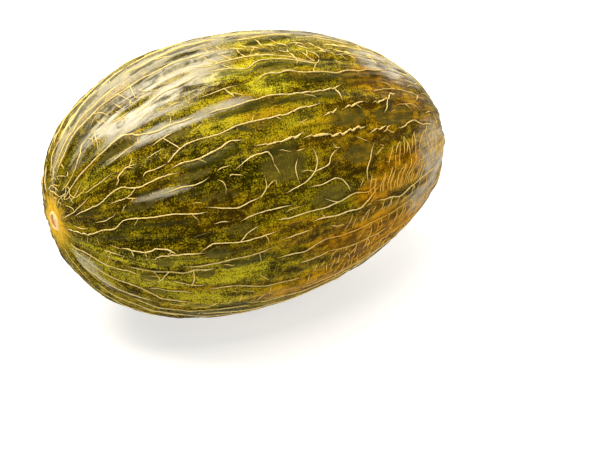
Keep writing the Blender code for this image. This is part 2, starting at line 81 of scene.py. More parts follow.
def body_profile():
    """Station, radius and distance over the rind at many places between the poles."""
    angle = np.linspace(0.0, pi, PROFILE_STEPS)
    station = -np.cos(angle)
    radius = GIRTH_RADIUS * np.sin(angle).clip(0.0) ** END_BLUNTNESS * (1.0 - STEM_END_FULLNESS * station)
    pieces = np.hypot(HALF_LENGTH * np.diff(station), np.diff(radius))
    return station, radius, np.concatenate(([0.0], np.cumsum(pieces)))


STATION, RADIUS, DISTANCE = body_profile()
POLE_TO_POLE = DISTANCE[-1]


def radius_at(distance):
    return np.interp(distance, DISTANCE, RADIUS)


def body_point(distance, turn):
    """A point of the smooth body, before furrows and net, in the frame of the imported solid."""
    station = np.interp(distance, DISTANCE, STATION)
    radius = radius_at(distance)
    bend = station**2
    x = HALF_LENGTH * station
    y = -radius * np.sin(turn) - END_SWAY * bend
    z = -radius * HEIGHT_SHARE * np.cos(turn) - END_DROOP * bend
    return np.stack([x, y, z], axis=-1) + BODY_CENTRE


def outward(distance, turn):
    """The smooth body's outward direction."""
    lengthwise = body_point(distance + SMALL_STEP, turn) - body_point(distance - SMALL_STEP, turn)
    crosswise = np.stack([np.zeros_like(turn), -np.cos(turn), HEIGHT_SHARE * np.sin(turn)], axis=-1)
    normal = np.cross(lengthwise, crosswise)
    return normal / np.linalg.norm(normal, axis=-1, keepdims=True)


def furrow_height(distance, turn):
    """Rounded ribs with furrows between them. They wander, and they fade at both ends."""
    share = distance / POLE_TO_POLE
    height = np.zeros_like(distance)
    for count, depth, wander, start in FURROWS:
        sideways = wander * np.sin(FULL_TURN * share * FURROW_WAVES + start)
        height += depth * np.cos(count * turn + start + sideways)
    height *= np.interp(share, (0.0, 1.0), FURROW_DEPTH_AT_POLES)
    height *= np.minimum(1.0, radius_at(distance) / FURROW_FULL_RADIUS)
    from_pole = np.minimum(distance, POLE_TO_POLE - distance)
    return height * ((from_pole - SCAR_BED_RADIUS) / FURROW_SCAR_FADE).clip(0.0, 1.0)


# The splits of the rind, where the net grows. The strokes of the near side are listed: how bold each is, then
# millimetres from the stem pole and degrees round at each bend. A seeded rule makes them zigzag and draws
# the rest.
NET_SEED = 23
TRACKS = 46
TRACK_START = (0.013, 0.044, 0.026, 0.044)
TRACK_END = (0.012, 0.040, 0.026, 0.040)
TRACK_STAGGER = 0.006
TRACK_SPREAD = 0.16
STROKE_LENGTHS = (0.024, 0.110, 0.050)
STROKE_GAPS = (-0.012, 0.016, -0.003)
STROKE_LEAN = 0.34
STROKE_SIDE_STEP = 0.20
STROKE_BOLDNESS = (0.8, 1.2)
STROKE_STEP = 0.0085
THREAD_STEP = 0.0050
TIP_LENGTH = 0.0042
STROKE_HALF_WIDTH = 0.00115
THREAD_HALF_WIDTH = 0.00095
ZIGZAG = 0.0010
BOW = 0.0016
CLEARANCE = 0.0032
SEAM_MARGIN = 0.0035
STEM_MARGIN = 0.0105
BLOSSOM_MARGIN = 0.0075
TIE_REACH = 1.3
TIE_ROOM = 0.45
NEAR_STROKES = (
    (1.0, (13, 122), (30, 126), (46, 134)), (1.1, (27, 121), (44, 125), (66, 130), (74, 128), (100, 128)),
    (1.3, (96, 131), (120, 132), (133, 134), (141, 133)), (0.9, (80, 131), (82, 133), (96, 134)),
    (1.1, (96, 135), (105, 138), (133, 139), (164, 139), (186, 140), (196, 140)),
    (0.9, (62, 147), (70, 147), (85, 148)), (1.3, (24, 150), (45, 154), (79, 155), (97, 150), (122, 149)),
    (1.2, (125, 148), (160, 148), (204, 146), (217, 148)), (0.9, (126, 156), (152, 156)),
    (1.3, (162, 155), (171, 158), (186, 157), (218, 154), (243, 156), (262, 158)),
    (1.1, (90, 163), (112, 166), (137, 168)),
    (1.1, (140, 168), (163, 164), (179, 167), (197, 163), (207, 160), (213, 164)),
    (0.9, (185, 168), (208, 162)), (1.0, (24, 154), (40, 160), (51, 165), (55, 173), (61, 172)),
    (0.9, (67, 174), (62, 158)), (1.2, (22, 190), (40, 191), (75, 188), (98, 187)),
    (1.1, (30, 183), (55, 184), (100, 181), (160, 181)),
    (1.1, (16, 100), (48, 105), (56, 106), (62, 111), (80, 111), (92, 110), (110, 109)),
    (1.0, (109, 111), (128, 108), (141, 110)), (0.8, (24, 109), (38, 106)),
    (0.9, (40, 112), (51, 114), (60, 118)), (0.8, (54, 121), (75, 126)),
    (0.8, (64, 133), (69, 138), (75, 140), (80, 139)), (1.0, (41, 137), (54, 138), (65, 141)),
    (0.9, (27, 141), (35, 143), (45, 149)), (0.8, (84, 139), (97, 141)), (0.9, (90, 144), (107, 146)),
    (1.1, (57, 93), (87, 93), (90, 91)), (1.1, (73, 88), (85, 90), (106, 91)),
    (1.0, (103, 91), (110, 95), (134, 93), (148, 95)), (1.1, (94, 84), (119, 85), (146, 88)),
    (1.1, (58, 79), (95, 80), (99, 82), (112, 82)), (1.1, (18, 72), (40, 76), (70, 75)),
    (1.1, (36, 66), (63, 65), (83, 60), (103, 59)), (0.9, (75, 65), (79, 67), (101, 66)),
    (1.1, (30, 57), (58, 55), (80, 53)), (0.8, (100, 99), (110, 100)),
    (1.0, (88, 121), (108, 122), (115, 123)), (0.8, (119, 121), (122, 119), (122, 114)),
    (1.1, (130, 123), (140, 125), (149, 127), (153, 126), (153, 121)),
    (1.4, (145, 130), (156, 129), (178, 130)), (0.8, (146, 118), (146, 113), (141, 111)),
    (1.0, (127, 102), (140, 104), (159, 104)),
    (1.0, (156, 109), (171, 111), (178, 114), (181, 119), (178, 124)),
    (0.9, (166, 111), (165, 117), (168, 121)), (0.9, (179, 114), (187, 116), (190, 119), (197, 121)),
    (0.9, (191, 115), (202, 118)), (1.0, (171, 109), (190, 109), (196, 106), (199, 102)),
    (1.0, (180, 103), (189, 100), (203, 101), (213, 99), (222, 102)),
    (1.1, (170, 95), (205, 94), (216, 97), (224, 101)), (1.0, (150, 91), (171, 92)),
    (1.1, (148, 82), (167, 82), (178, 84), (209, 83), (240, 82), (262, 83)),
    (1.0, (182, 78), (205, 76), (232, 75)), (1.1, (218, 94), (240, 90), (262, 92), (286, 92)),
    (0.9, (225, 120), (219, 115), (214, 108), (213, 102)), (1.2, (193, 135), (206, 137)),
    (1.3, (208, 136), (229, 138)), (1.2, (232, 137), (246, 138), (258, 142)), (0.9, (210, 146), (211, 140)),
    (1.5, (175, 128), (196, 126), (213, 127), (222, 127)), (1.2, (221, 124), (240, 125)),
    (1.0, (245, 123), (262, 125), (290, 121)), (0.9, (259, 145), (280, 141)),
    (0.9, (252, 135), (269, 134), (274, 131)),
)
NEAR_FROM = radians(50)
NEAR_TO = radians(186)
NEAR_JOIN = 0.0022
NEAR_FILL_CLEARANCE = 0.0046

# Fields of short threads: distance from the stem pole, degrees round, half extent along, half extent round
# in degrees, attempts, heading off the fruit's length in degrees, shortest and longest thread
COMBS = (
    (0.248, 105, 0.014, 7, 60, 62, 0.010, 0.017),  # comb at the near blossom end
    (0.278, 106, 0.008, 11, 20, 80, 0.007, 0.012),  # threads at the blossom end
    (0.262, 236, 0.018, 12, 60, 100, 0.009, 0.016),  # comb at the far blossom end
)
FIELDS = (
    (0.027, 173, 0.010, 27, 40, 85, 0.004, 0.008),  # ladder above the stem scar
    (0.090, 170, 0.018, 4, 14, 110, 0.004, 0.006),  # ticks on the near shoulder
    (0.190, 174, 0.055, 7, 44, -50, 0.007, 0.013),  # slanting ticks on the crown
    (0.205, 69, 0.024, 5, 30, 86, 0.005, 0.008),  # ticks low on the near side
    (0.240, 72, 0.024, 11, 50, 75, 0.005, 0.009),  # mesh low at the blossom end
    (0.040, 262, 0.016, 22, 22, 80, 0.005, 0.010),  # ladder behind the stem scar
    (0.150, 276, 0.060, 24, 34, 58, 0.006, 0.014),  # forks on the far side
    (0.205, 222, 0.045, 18, 26, 55, 0.006, 0.014),  # forks on the back shoulder
)
HEADING_SPREAD = 16
FORK_SHARE = 0.30
FORK_SLANTS = (28, 75)
FORK_LENGTHS = (0.008, 0.020)

# Loose threads: how many, how near the stem pole, headings and how far off them in degrees, lengths, step
LOOSE_THREADS = (70, 0.03, (20, 50, 90, 130, 160), 15, (0.006, 0.013), THREAD_STEP)
LOOSE_TO_BLOSSOM = 0.02
NOWHERE = np.full((1, 3), 1000.0)


def halfway(here, there):
    return tuple(0.5 * (a + b) for a, b in zip(here, there))


def gaps_to(place, points):
    """How far some points are from a place."""
    return np.linalg.norm(points - body_point(*np.array(place)), axis=1)


class Net:
    """The strokes laid so far. Each is a path of places, its half width, and whether each end is joined."""

    def __init__(self, clearance):
        self.clearance = clearance
        self.strokes = []
        self.samples = NOWHERE
        self.knots = NOWHERE
        self.knot_places = [(0.0, 0.0)]

    def room(self, place):
        """How far a place is from the nearest stroke."""
        return gaps_to(place, self.samples).min()

    def on_rind(self, place):
        """Whether a place keeps clear of both scars and of the line along the underside where turns begin."""
        distance, turn = place
        margin = SEAM_MARGIN / radius_at(distance)
        clear_of_scars = STEM_MARGIN < distance < POLE_TO_POLE - BLOSSOM_MARGIN
        return clear_of_scars and margin < turn < FULL_TURN - margin

    def nearest_knot(self, place):
        gaps = gaps_to(place, self.knots)
        return self.knot_places[int(gaps.argmin())], gaps.min()

    def lay(self, path, half_width, joined=False, shortest=2, clearance=None):
        """Lays a stroke as far as there is room for it. One that reaches another stroke ties into it."""
        clearance = clearance or self.clearance
        kept = [path[0]]
        tied = False
        if not self.on_rind(path[0]) or (not joined and self.room(path[0]) < clearance):
            return
        for place in path[1:]:
            if not self.on_rind(place):
                break
            if self.room(place) < clearance:
                knot, gap = self.nearest_knot(place)
                if gap < TIE_REACH * self.clearance and knot not in kept and self.reaches(kept[-1], knot):
                    kept.append(knot)
                    tied = True
                break
            kept.append(place)
        if len(kept) > shortest:
            self.keep(kept, half_width, joined, tied)

    def lay_whole(self, path, half_width):
        """Lays a stroke from end to end. An end that comes near another stroke is drawn onto it."""
        meets = []
        for end in (0, -1):
            knot, gap = self.nearest_knot(path[end])
            meets.append(gap < NEAR_JOIN)
            if meets[-1]:
                path[end] = knot
        self.keep(path, half_width, *meets)

    def keep(self, path, half_width, joined, tied):
        if joined:
            path.insert(1, halfway(path[0], path[1]))
        if tied:
            path.insert(-1, halfway(path[-2], path[-1]))
        self.strokes.append((path, half_width, joined, tied))
        self.remember(path)

    def reaches(self, here, there):
        """Whether a straight run from here to there keeps clear of other strokes for its first half."""
        middle = halfway(here, there)
        return min(self.room(middle), self.room(halfway(here, middle))) > TIE_ROOM * self.clearance

    def remember(self, path):
        """Notes where a stroke runs, at its places and three times between them."""
        places = np.array(path)
        steps = np.linspace(0.0, len(path) - 1.0, 4 * len(path) - 3)
        distance = np.interp(steps, np.arange(len(path)), places[:, 0])
        turn = np.interp(steps, np.arange(len(path)), places[:, 1])
        self.samples = np.concatenate([self.samples, body_point(distance, turn)])
        self.knots = np.concatenate([self.knots, body_point(places[:, 0], places[:, 1])])
        self.knot_places += path


def lengthwise_path(draw, track_turn, start, end, lean, offset):
    """A stroke along one track: it leans across the track, bows a little and zigzags."""
    inner = max(1, round((end - start - 2 * TIP_LENGTH) / STROKE_STEP))
    stations = [start, *np.linspace(start + TIP_LENGTH, end - TIP_LENGTH, inner + 1), end]
    bow = draw.uniform(-BOW, BOW)
    path = []
    for distance in stations:
        share = (distance - start) / (end - start)
        sideways = draw.uniform(-ZIGZAG, ZIGZAG) + bow * sin(FULL_TURN * share)
        across = (offset + lean * (share - 0.5)) * FULL_TURN / TRACKS
        path.append((float(distance), track_turn + across + sideways / float(radius_at(distance))))
    return path


def bent_path(draw, bends, step):
    """A stroke through bends given in millimetres and degrees. It zigzags a little between them."""
    bends = [(0.001 * millimetres, radians(degrees)) for millimetres, degrees in bends]
    path = []
    for (d0, t0), (d1, t1) in zip(bends, bends[1:]):
        radius = float(radius_at(0.5 * (d0 + d1)))
        along, across = d1 - d0, (t1 - t0) * radius
        length = hypot(along, across)
        count = max(1, round(length / step))
        for index in range(count):
            share = index / count
            sideways = draw.uniform(-ZIGZAG, ZIGZAG) / length if path else 0.0
            distance = d0 + share * along - sideways * across
            path.append((distance, t0 + (share * across + sideways * along) / radius))
    path.append(bends[-1])
    return path


def wandering_path(draw, place, heading, length, step, curl=0.35, waver=0.25):
    """A short thread that sets out at an angle to the fruit's length and curls as it goes."""
    distance, turn = place
    path = [place]
    curl = draw.uniform(-curl, curl)
    for _ in range(max(2, round(length / step))):
        heading += curl + draw.uniform(-waver, waver)
        distance += step * cos(heading)
        turn += step * sin(heading) / float(radius_at(distance))
        path.append((distance, turn))
    return path


def lay_listed(net, draw, rows, step=STROKE_STEP, half_width=STROKE_HALF_WIDTH):
    """Strokes that are listed one by one."""
    for boldness, *bends in rows:
        net.lay_whole(bent_path(draw, bends, step), half_width * boldness)


def lay_lengthwise_strokes(net, draw):
    """Broken lines from the stem end to the blossom end, each stroke stepping aside from the last."""
    for track in range(TRACKS):
        track_turn = FULL_TURN * (track + 0.5 + draw.uniform(-TRACK_SPREAD, TRACK_SPREAD)) / TRACKS
        start = TRACK_START[track % 4] + draw.uniform(0.0, TRACK_STAGGER)
        stop = POLE_TO_POLE - TRACK_END[track % 4] - draw.uniform(0.0, TRACK_STAGGER)
        side = draw.choice((-1, 1))
        clearance = NEAR_FILL_CLEARANCE if NEAR_FROM < track_turn < NEAR_TO else CLEARANCE
        while start < stop - 2 * STROKE_STEP:
            end = min(start + draw.triangular(*STROKE_LENGTHS), stop)
            lean = draw.uniform(-STROKE_LEAN, STROKE_LEAN)
            path = lengthwise_path(draw, track_turn, start, end, lean, STROKE_SIDE_STEP * side)
            net.lay(path, STROKE_HALF_WIDTH * draw.uniform(*STROKE_BOLDNESS), clearance=clearance)
            start = end + draw.triangular(*STROKE_GAPS)
            side = -side


def lay_forks(net, draw):
    """Side branches that leave a stroke at a slant. Many reach the next stroke and tie into it."""
    for path, *_ in list(net.strokes):
        if draw.random() < FORK_SHARE and len(path) > 3:
            place = path[draw.randrange(1, len(path) - 1)]
            slant = draw.choice((-1, 1)) * radians(draw.uniform(*FORK_SLANTS))
            heading = slant + draw.choice((0, pi))
            branch = wandering_path(draw, place, heading, draw.uniform(*FORK_LENGTHS), THREAD_STEP)
            net.lay(branch, THREAD_HALF_WIDTH, joined=True)


def lay_fields(net, draw, fields, step=THREAD_STEP, half_width=THREAD_HALF_WIDTH, **bends):
    """Crowds of short threads where the rind has stretched more, each field with its own heading."""
    for middle, degrees, half_along, half_round, attempts, slant, shortest, longest in fields:
        for _ in range(attempts):
            distance = middle + draw.uniform(-half_along, half_along)
            turn = radians(degrees + draw.uniform(-half_round, half_round))
            heading = radians(slant + draw.uniform(-HEADING_SPREAD, HEADING_SPREAD))
            length = draw.uniform(shortest, longest)
            path = wandering_path(draw, (distance, turn), heading, length, step, **bends)
            net.lay(path, half_width, shortest=1)


def loose_threads(draw, count, start, headings, spread, lengths, step, **bends):
    """Single short threads, anywhere on the rind."""
    for _ in range(count):
        place = (draw.uniform(start, POLE_TO_POLE - LOOSE_TO_BLOSSOM), draw.uniform(0.0, FULL_TURN))
        heading = radians(draw.choice(headings) + draw.uniform(-spread, spread))
        yield wandering_path(draw, place, heading, draw.uniform(*lengths), step, **bends)


net = Net(CLEARANCE)
net_draw = random.Random(NET_SEED)
lay_fields(net, net_draw, COMBS)
lay_listed(net, net_draw, NEAR_STROKES)
lay_lengthwise_strokes(net, net_draw)
lay_forks(net, net_draw)
lay_fields(net, net_draw, FIELDS)
for path in loose_threads(net_draw, *LOOSE_THREADS):
    net.lay(path, THREAD_HALF_WIDTH, shortest=1)

# Spots of the rind, each by millimetres from the stem pole, degrees round, half length, half width in degrees
# and strength
DARK_SPOTS = (
    (160, 120, 19, 9, 1.0), (184, 103, 15, 6.5, 1.0), (210, 132, 20, 5, 0.9), (211, 117, 18, 6, 0.9),
    (247, 130, 24, 6, 1.2), (127, 98, 14, 5, 0.7), (119, 114, 18, 4, 0.6), (75, 118, 14, 4, 0.7),
    (106, 125, 16, 3, 0.8), (70, 151, 22, 2.6, 1.0), (106, 144, 14, 3, 0.8), (52, 100, 16, 4, 0.5),
    (96, 88, 20, 3, 0.6), (150, 147, 18, 3, 0.6), (190, 144, 24, 3, 0.6), (178, 161, 18, 3, 0.6),
    (40, 84, 18, 5, 0.6), (70, 70, 16, 4, 0.5), (226, 150, 20, 4, 0.7), (140, 84, 22, 3, 0.5),
    (200, 88, 20, 4, 0.6), (83, 86, 7, 3.6, 1.4), (74, 75, 6, 3.4, 1.4), (113, 90, 9, 4.0, 1.4),
    (106, 79, 7, 3.4, 1.4), (80, 65, 8, 3.4, 1.4),
)
# More yellow flecks. The spots low on the near side toward the stem end are also painted light, where light
# from the table falls.
FRESH_AND_PAINTED_LIGHT_SPOTS = (
    (170, 153, 20, 6, 0.8), (152, 163, 24, 6, 0.8), (202, 168, 24, 8, 0.35), (205, 183, 60, 7, 0.5),
    (130, 142, 24, 3.5, 0.4), (230, 163, 22, 7, 0.5), (176, 135, 22, 3, 0.4), (178, 166, 24, 6, 0.6),
    (118, 78, 44, 10, 0.55), (66, 72, 44, 10, 0.62), (66, 87, 60, 8, 0.62), (38, 64, 30, 12, 0.55),
    (50, 146, 24, 7, 0.5), (110, 62, 50, 9, 0.5),
)
DULL_SPOTS = (
    (90, 112, 90, 22, 0.5), (50, 128, 60, 18, 0.35), (30, 160, 34, 12, 0.3), (226, 162, 30, 10, 0.3),
    (246, 142, 36, 15, 0.45),
)
RUSSET_SPOTS = (
    (219, 98, 22, 8, 1.0), (248, 104, 34, 14, 0.85), (212, 82, 52, 11, 0.85), (240, 70, 64, 15, 1.0),
    (158, 92, 36, 8, 0.25), (186, 60, 60, 12, 0.7), (252, 150, 40, 14, 0.45), (262, 134, 30, 12, 0.5),
    (222, 124, 50, 22, 0.28), (282, 100, 34, 60, 0.5), (110, 108, 40, 10, 0.12), (200, 20, 110, 30, 0.45),
)
# Pale grey bloom: partly wax, mostly painted sheen where the lights and the table reflect. The gaps cut dark
# slots into that painted sheen.
WAX_BLOOM_AND_PAINTED_SHEEN_SPOTS = (
    (98, 168, 62, 16, 1.0), (110, 196, 110, 18, 0.6), (272, 166, 34, 20, 0.9), (98, 149, 46, 3.5, 1.0),
    (88, 121, 20, 2.2, 0.6), (140, 149, 18, 2.4, 0.7), (135, 178, 34, 9, 0.8), (286, 102, 32, 26, 0.6),
    (226, 193, 70, 13, 0.45), (270, 80, 26, 13, 0.55), (44, 52, 18, 8, 0.7), (34, 64, 14, 9, 0.6),
)
WAX_BLOOM_AND_PAINTED_SHEEN_GAPS = (
    (93, 168, 20, 2.6, 1.0), (97, 154, 14, 2.2, 1.0), (116, 151.5, 16, 2.2, 1.0), (75, 150, 14, 2.2, 1.0),
    (88, 145, 14, 2.2, 0.9), (112, 159, 18, 2.2, 0.8), (60, 162, 14, 5, 0.9), (120, 171, 18, 2.4, 0.8),
)
FAR_SPOT_SEED = 5
FAR_DARK_SPOTS = (26, 0.8)  # how many and how strong
FAR_FRESH_SPOTS = (14, 0.7)
FAR_SPOTS_ALONG = (30, 320)
FAR_SPOTS_ROUND = (186, 406)
FAR_SPOT_SIZES = (10, 24)
FAR_SPOT_SLIMNESS = 0.3
far_draw = random.Random(FAR_SPOT_SEED)


def far_spots(count, strength):
    """Spots for the sides that face away, strewn by a seeded rule."""
    spots = []
    for _ in range(count):
        degrees = far_draw.uniform(*FAR_SPOTS_ROUND) % 360
        size = far_draw.uniform(*FAR_SPOT_SIZES)
        millimetres = far_draw.uniform(*FAR_SPOTS_ALONG)
        spots.append((millimetres, degrees, size, FAR_SPOT_SLIMNESS * size, strength))
    return tuple(spots)


def soft_spot(distance, turn, spots):
    """How far each place lies inside some soft-edged spots: from 0 outside to the strength of the spot."""
    cover = np.zeros_like(distance)
    for millimetres, degrees, half_along, half_round, strength in spots:
        away_along = (distance - 0.001 * millimetres) / (0.001 * half_along)
        difference = (turn - radians(degrees) + pi) % FULL_TURN - pi
        away_round = difference / radians(half_round)
        inside = 1.0 - np.hypot(away_along, away_round)
        cover = np.maximum(cover, strength * (inside * 2.0).clip(0.0, 1.0))
    return cover


# Below a bold stroke the rind swells and falls away again, and there it is smooth, free of flecks and dark.
# That dark green is partly the rind's own colour and partly painted shade in the hollow below the swell.
LEE_WIDTH = 0.0085
LEE_SAMPLE_STEP = 0.001
LEE_BY_BOLDNESS = ((0.85, 1.25), (0.25, 1.0))
LEE_STRENGTH = (0.35, 1.0)
LEE_END_FADE = 0.008
LEE_SHADE = ((0.0, 0.12, 0.35, 0.75, 1.0), (0.0, 0.4, 1.0, 1.0, 0.0))
LEE_SEED = 8
LENGTHWISE_SHARE = 0.85


def lee_of_strokes(distance, turn):
    """How far across the lee of a bold lengthwise stroke each place lies, and how strong that lee is."""
    draw = random.Random(LEE_SEED)
    spots = []
    for path, half_width, *_ in net.strokes:
        places = np.array(path)
        runs = np.diff(places[:, 0]), np.diff(places[:, 1]) * radius_at(places[1:, 0])
        pieces = np.hypot(*runs)
        length = pieces.sum()
        favour = draw.uniform(*LEE_STRENGTH)
        if np.abs(runs[0]).sum() < LENGTHWISE_SHARE * length:
            continue
        boldness = np.interp(half_width / STROKE_HALF_WIDTH, *LEE_BY_BOLDNESS)
        reach = np.concatenate(([0.0], np.cumsum(pieces)))
        for at in np.arange(0.0, length, LEE_SAMPLE_STEP):
            fade = min(1.0, at / LEE_END_FADE, (length - at) / LEE_END_FADE)
            along = np.interp(at, reach, places[:, 0])
            spots.append((along, np.interp(at, reach, places[:, 1]), favour * boldness * fade))
    spots = np.array(spots)
    tree = KDTree(len(spots))
    for index, point in enumerate(body_point(spots[:, 0], spots[:, 1])):
        tree.insert(point, index)
    tree.balance()
    nearest = np.array([tree.find(point)[1] for point in body_point(distance, turn)])
    _, line_turn, strength = spots[nearest].T
    below = ((line_turn - turn + pi) % FULL_TURN - pi) * radius_at(distance) / LEE_WIDTH
    inside = (below > 0.0) & (below < 1.0)
    return np.where(inside, below, 0.0), np.where(inside, strength, 0.0)


SKIN_CUTS = 127  # cuts along each edge of the cube that is blown up into the skin
STREAK_SHARE = 0.25  # streaks of colour are four times as long as they are wide


def note(mesh, values):
    """Stores named numbers on a mesh, one for each of its points."""
    for name, numbers in values.items():
        mesh.attributes.new(name, "FLOAT", "POINT").data.foreach_set("value", numbers)


def skin_sheet():
    """The smooth skin with its furrows, as an even mesh, with the attributes that its colour is read from."""
    cube = bmesh.new()
    bmesh.ops.create_cube(cube, size=2.0)
    bmesh.ops.subdivide_edges(cube, edges=cube.edges, cuts=SKIN_CUTS, use_grid_fill=True)
    sheet = bpy.data.meshes.new("rind")
    cube.to_mesh(sheet)
    cube.free()
    corner = np.empty(3 * len(sheet.vertices))
    sheet.vertices.foreach_get("co", corner)
    corner = np.tan(corner.reshape(-1, 3) * pi / 4.0)
    ball = corner / np.linalg.norm(corner, axis=1, keepdims=True)
    distance = np.interp(ball[:, 0], STATION, DISTANCE)
    turn = np.arctan2(-ball[:, 1], -ball[:, 2]) % FULL_TURN
    from_pole = np.minimum(distance, POLE_TO_POLE - distance)
    bed = SCAR_BED_DEPTH * (1.0 - from_pole / SCAR_BED_RADIUS).clip(0.0, 1.0) ** 0.5
    height = furrow_height(distance, turn) - bed
    points = body_point(distance, turn) + outward(distance, turn) * height[:, None]
    sheet.vertices.foreach_set("co", points.ravel())
    across = GIRTH_RADIUS * np.cos(turn), GIRTH_RADIUS * np.sin(turn)
    streak = np.stack([STREAK_SHARE * distance, *across], axis=-1)
    sheet.attributes.new("streak", "FLOAT_VECTOR", "POINT").data.foreach_set("vector", streak.ravel())
    below, strength = lee_of_strokes(distance, turn)
    dark = soft_spot(distance, turn, DARK_SPOTS + far_spots(*FAR_DARK_SPOTS))
    fresh_and_painted_light = soft_spot(distance, turn, FRESH_AND_PAINTED_LIGHT_SPOTS + far_spots(*FAR_FRESH_SPOTS))
    wax_bloom_and_painted_sheen = soft_spot(distance, turn, WAX_BLOOM_AND_PAINTED_SHEEN_SPOTS)
    covers = {
        "from_stem": distance,
        "lee_swell": strength * np.sin(pi * below) ** 2,
        "lee_shade": strength * np.interp(below, *LEE_SHADE),
        "dark": dark,
        "fresh_and_painted_light": fresh_and_painted_light - soft_spot(distance, turn, DULL_SPOTS),
        "russet": soft_spot(distance, turn, RUSSET_SPOTS),
        "wax_bloom_and_painted_sheen": wax_bloom_and_painted_sheen * (1.0 - soft_spot(distance, turn, WAX_BLOOM_AND_PAINTED_SHEEN_GAPS)),
    }
    note(sheet, covers)
    return sheet


class Wire:
    """The output of a node. The signs + - * / between wires and numbers add the nodes that do it."""

    def __init__(self, socket):
        self.socket = socket
        self.tree = socket.id_data

    def into(self, kind, output=0, *values, **named):
        """Adds a node that takes this wire as its first input."""
        return add_node(self.tree, kind, output, self, *values, **named)

    def vector(self, operation, *values, **named):
        """One step of arithmetic on vectors."""
        return self.into("ShaderNodeVectorMath", 0, *values, operation=operation, **named)

    def between(self, low, high, at_low=0.0, at_high=1.0):
        """A smooth rise from one value to another while this one goes from low to high."""
        ends = {"From_Min": low, "From_Max": high, "To_Min": at_low, "To_Max": at_high}
        return self.into("ShaderNodeMapRange", interpolation_type="SMOOTHSTEP", **ends)


def fill(node, inputs):
    """Fills a node's inputs with plain values or with wires."""
    for name, value in inputs.items():
        if isinstance(value, Wire):
            node.id_data.links.new(value.socket, node.inputs[name])
        else:
            node.inputs[name].default_value = value


def add_node(tree, kind, output=0, *values, **named):
    """Adds a node and returns one of its outputs. The values go into its first inputs. A name with a capital
    is an input too, with _ for a space, and any other name is a setting."""
    node = tree.nodes.new(kind)
    inputs = dict(enumerate(values))
    for name, value in named.items():
        if name[0].isupper():
            inputs[name.replace("_", " ")] = value
        else:
            setattr(node, name, value)
    fill(node, inputs)
    return Wire(node.outputs[output])


def calculate(operation, *values):
    """One step of arithmetic on wires and numbers."""
    tree = next(value.tree for value in values if isinstance(value, Wire))
    return add_node(tree, "ShaderNodeMath", 0, *values, operation=operation)


# What the signs + - * / do, with the wire before or after the sign
for sign, operation in (("add", "ADD"), ("sub", "SUBTRACT"), ("mul", "MULTIPLY"), ("truediv", "DIVIDE")):
    setattr(Wire, f"__{sign}__", lambda wire, other, step=operation: calculate(step, wire, other))
    setattr(Wire, f"__r{sign}__", lambda wire, other, step=operation: calculate(step, other, wire))


def cloud(place, size, detail=2.0, roughness=0.5, seed=0.0):
    """Soft noise whose clouds are about as large as size, in metres."""
    grain = {"W": seed, "Scale": 1.0 / size, "Detail": detail, "Roughness": roughness}
    return place.into("ShaderNodeTexNoise", noise_dimensions="4D", **grain)


def new_object(name, data):
    """A new object in the scene, at the origin."""
    made = bpy.data.objects.new(name, data)
    bpy.context.scene.collection.objects.link(made)
    return made


SOCKET_KINDS = {float: "NodeSocketFloat", int: "NodeSocketInt", bpy.types.Object: "NodeSocketObject"}


def growth_tree(name, sizes):
    """A new Geometry Nodes tree with an input for the mesh and for each size, and those inputs by name."""
    tree = bpy.data.node_groups.new(name, "GeometryNodeTree")
    tree.interface.new_socket("Geometry", in_out="INPUT", socket_type="NodeSocketGeometry")
    for size, value in sizes.items():
        tree.interface.new_socket(size, in_out="INPUT", socket_type=SOCKET_KINDS[type(value)])
    tree.interface.new_socket("Geometry", in_out="OUTPUT", socket_type="NodeSocketGeometry")
    return tree, {socket.name: Wire(socket) for socket in tree.nodes.new("NodeGroupInput").outputs}


def grow(name, sheet, tree, sizes):
    """Runs a tree on a mesh with these sizes, and returns the outcome as a plain mesh object."""
    seedling = new_object(name + "_seedling", sheet)
    modifier = seedling.modifiers.new("growth", "NODES")
    modifier.node_group = tree
    for item in tree.interface.items_tree:
        if item.in_out == "INPUT" and item.name in sizes:
            modifier[item.identifier] = sizes[item.name]
    seedling.update_tag()
    grown = seedling.evaluated_get(bpy.context.evaluated_depsgraph_get())
    mesh = bpy.data.meshes.new_from_object(grown)
    mesh.name = name
    bpy.data.objects.remove(seedling)
    return new_object(name, mesh)


def named_value(tree, name, kind="FLOAT"):
    return add_node(tree, "GeometryNodeInputNamedAttribute", data_type=kind, Name=name)


TABLE_LIMIT = (-10.0, -10.0, 0.0)  # the least that x, y and z may be


def finish_tree(geometry, material):
    """The last nodes of a tree. Whatever would reach below the table is pressed flat against it."""
    tree = geometry.tree
    pressed = add_node(tree, "GeometryNodeInputPosition").vector("MAXIMUM", TABLE_LIMIT)
    geometry = geometry.into("GeometryNodeSetPosition", Position=pressed)
    geometry = geometry.into("GeometryNodeSetShadeSmooth").into("GeometryNodeRealizeInstances")
    geometry = geometry.into("GeometryNodeSetMaterial", Material=material)
    fill(tree.nodes.new("NodeGroupOutput"), {"Geometry": geometry})


# Lines of the net as loose edges, for the trees to grow on
BROKEN_BY_HALF_WIDTH = ((0.00118, 0.00138), (0.15, 1.0))  # the bold strokes are broken most
GROUND_WEAR = ((18, 52), (0.40, 1.0))  # on the side that lay on the soil the net is thin
STEM_WEAR = ((0.015, 0.075), (0.72, 1.0))  # and it thins out toward the stem scar
BROKEN_SPOTS = ((225, 131, 105, 22, 1.0), (215, 250, 110, 40, 0.8))


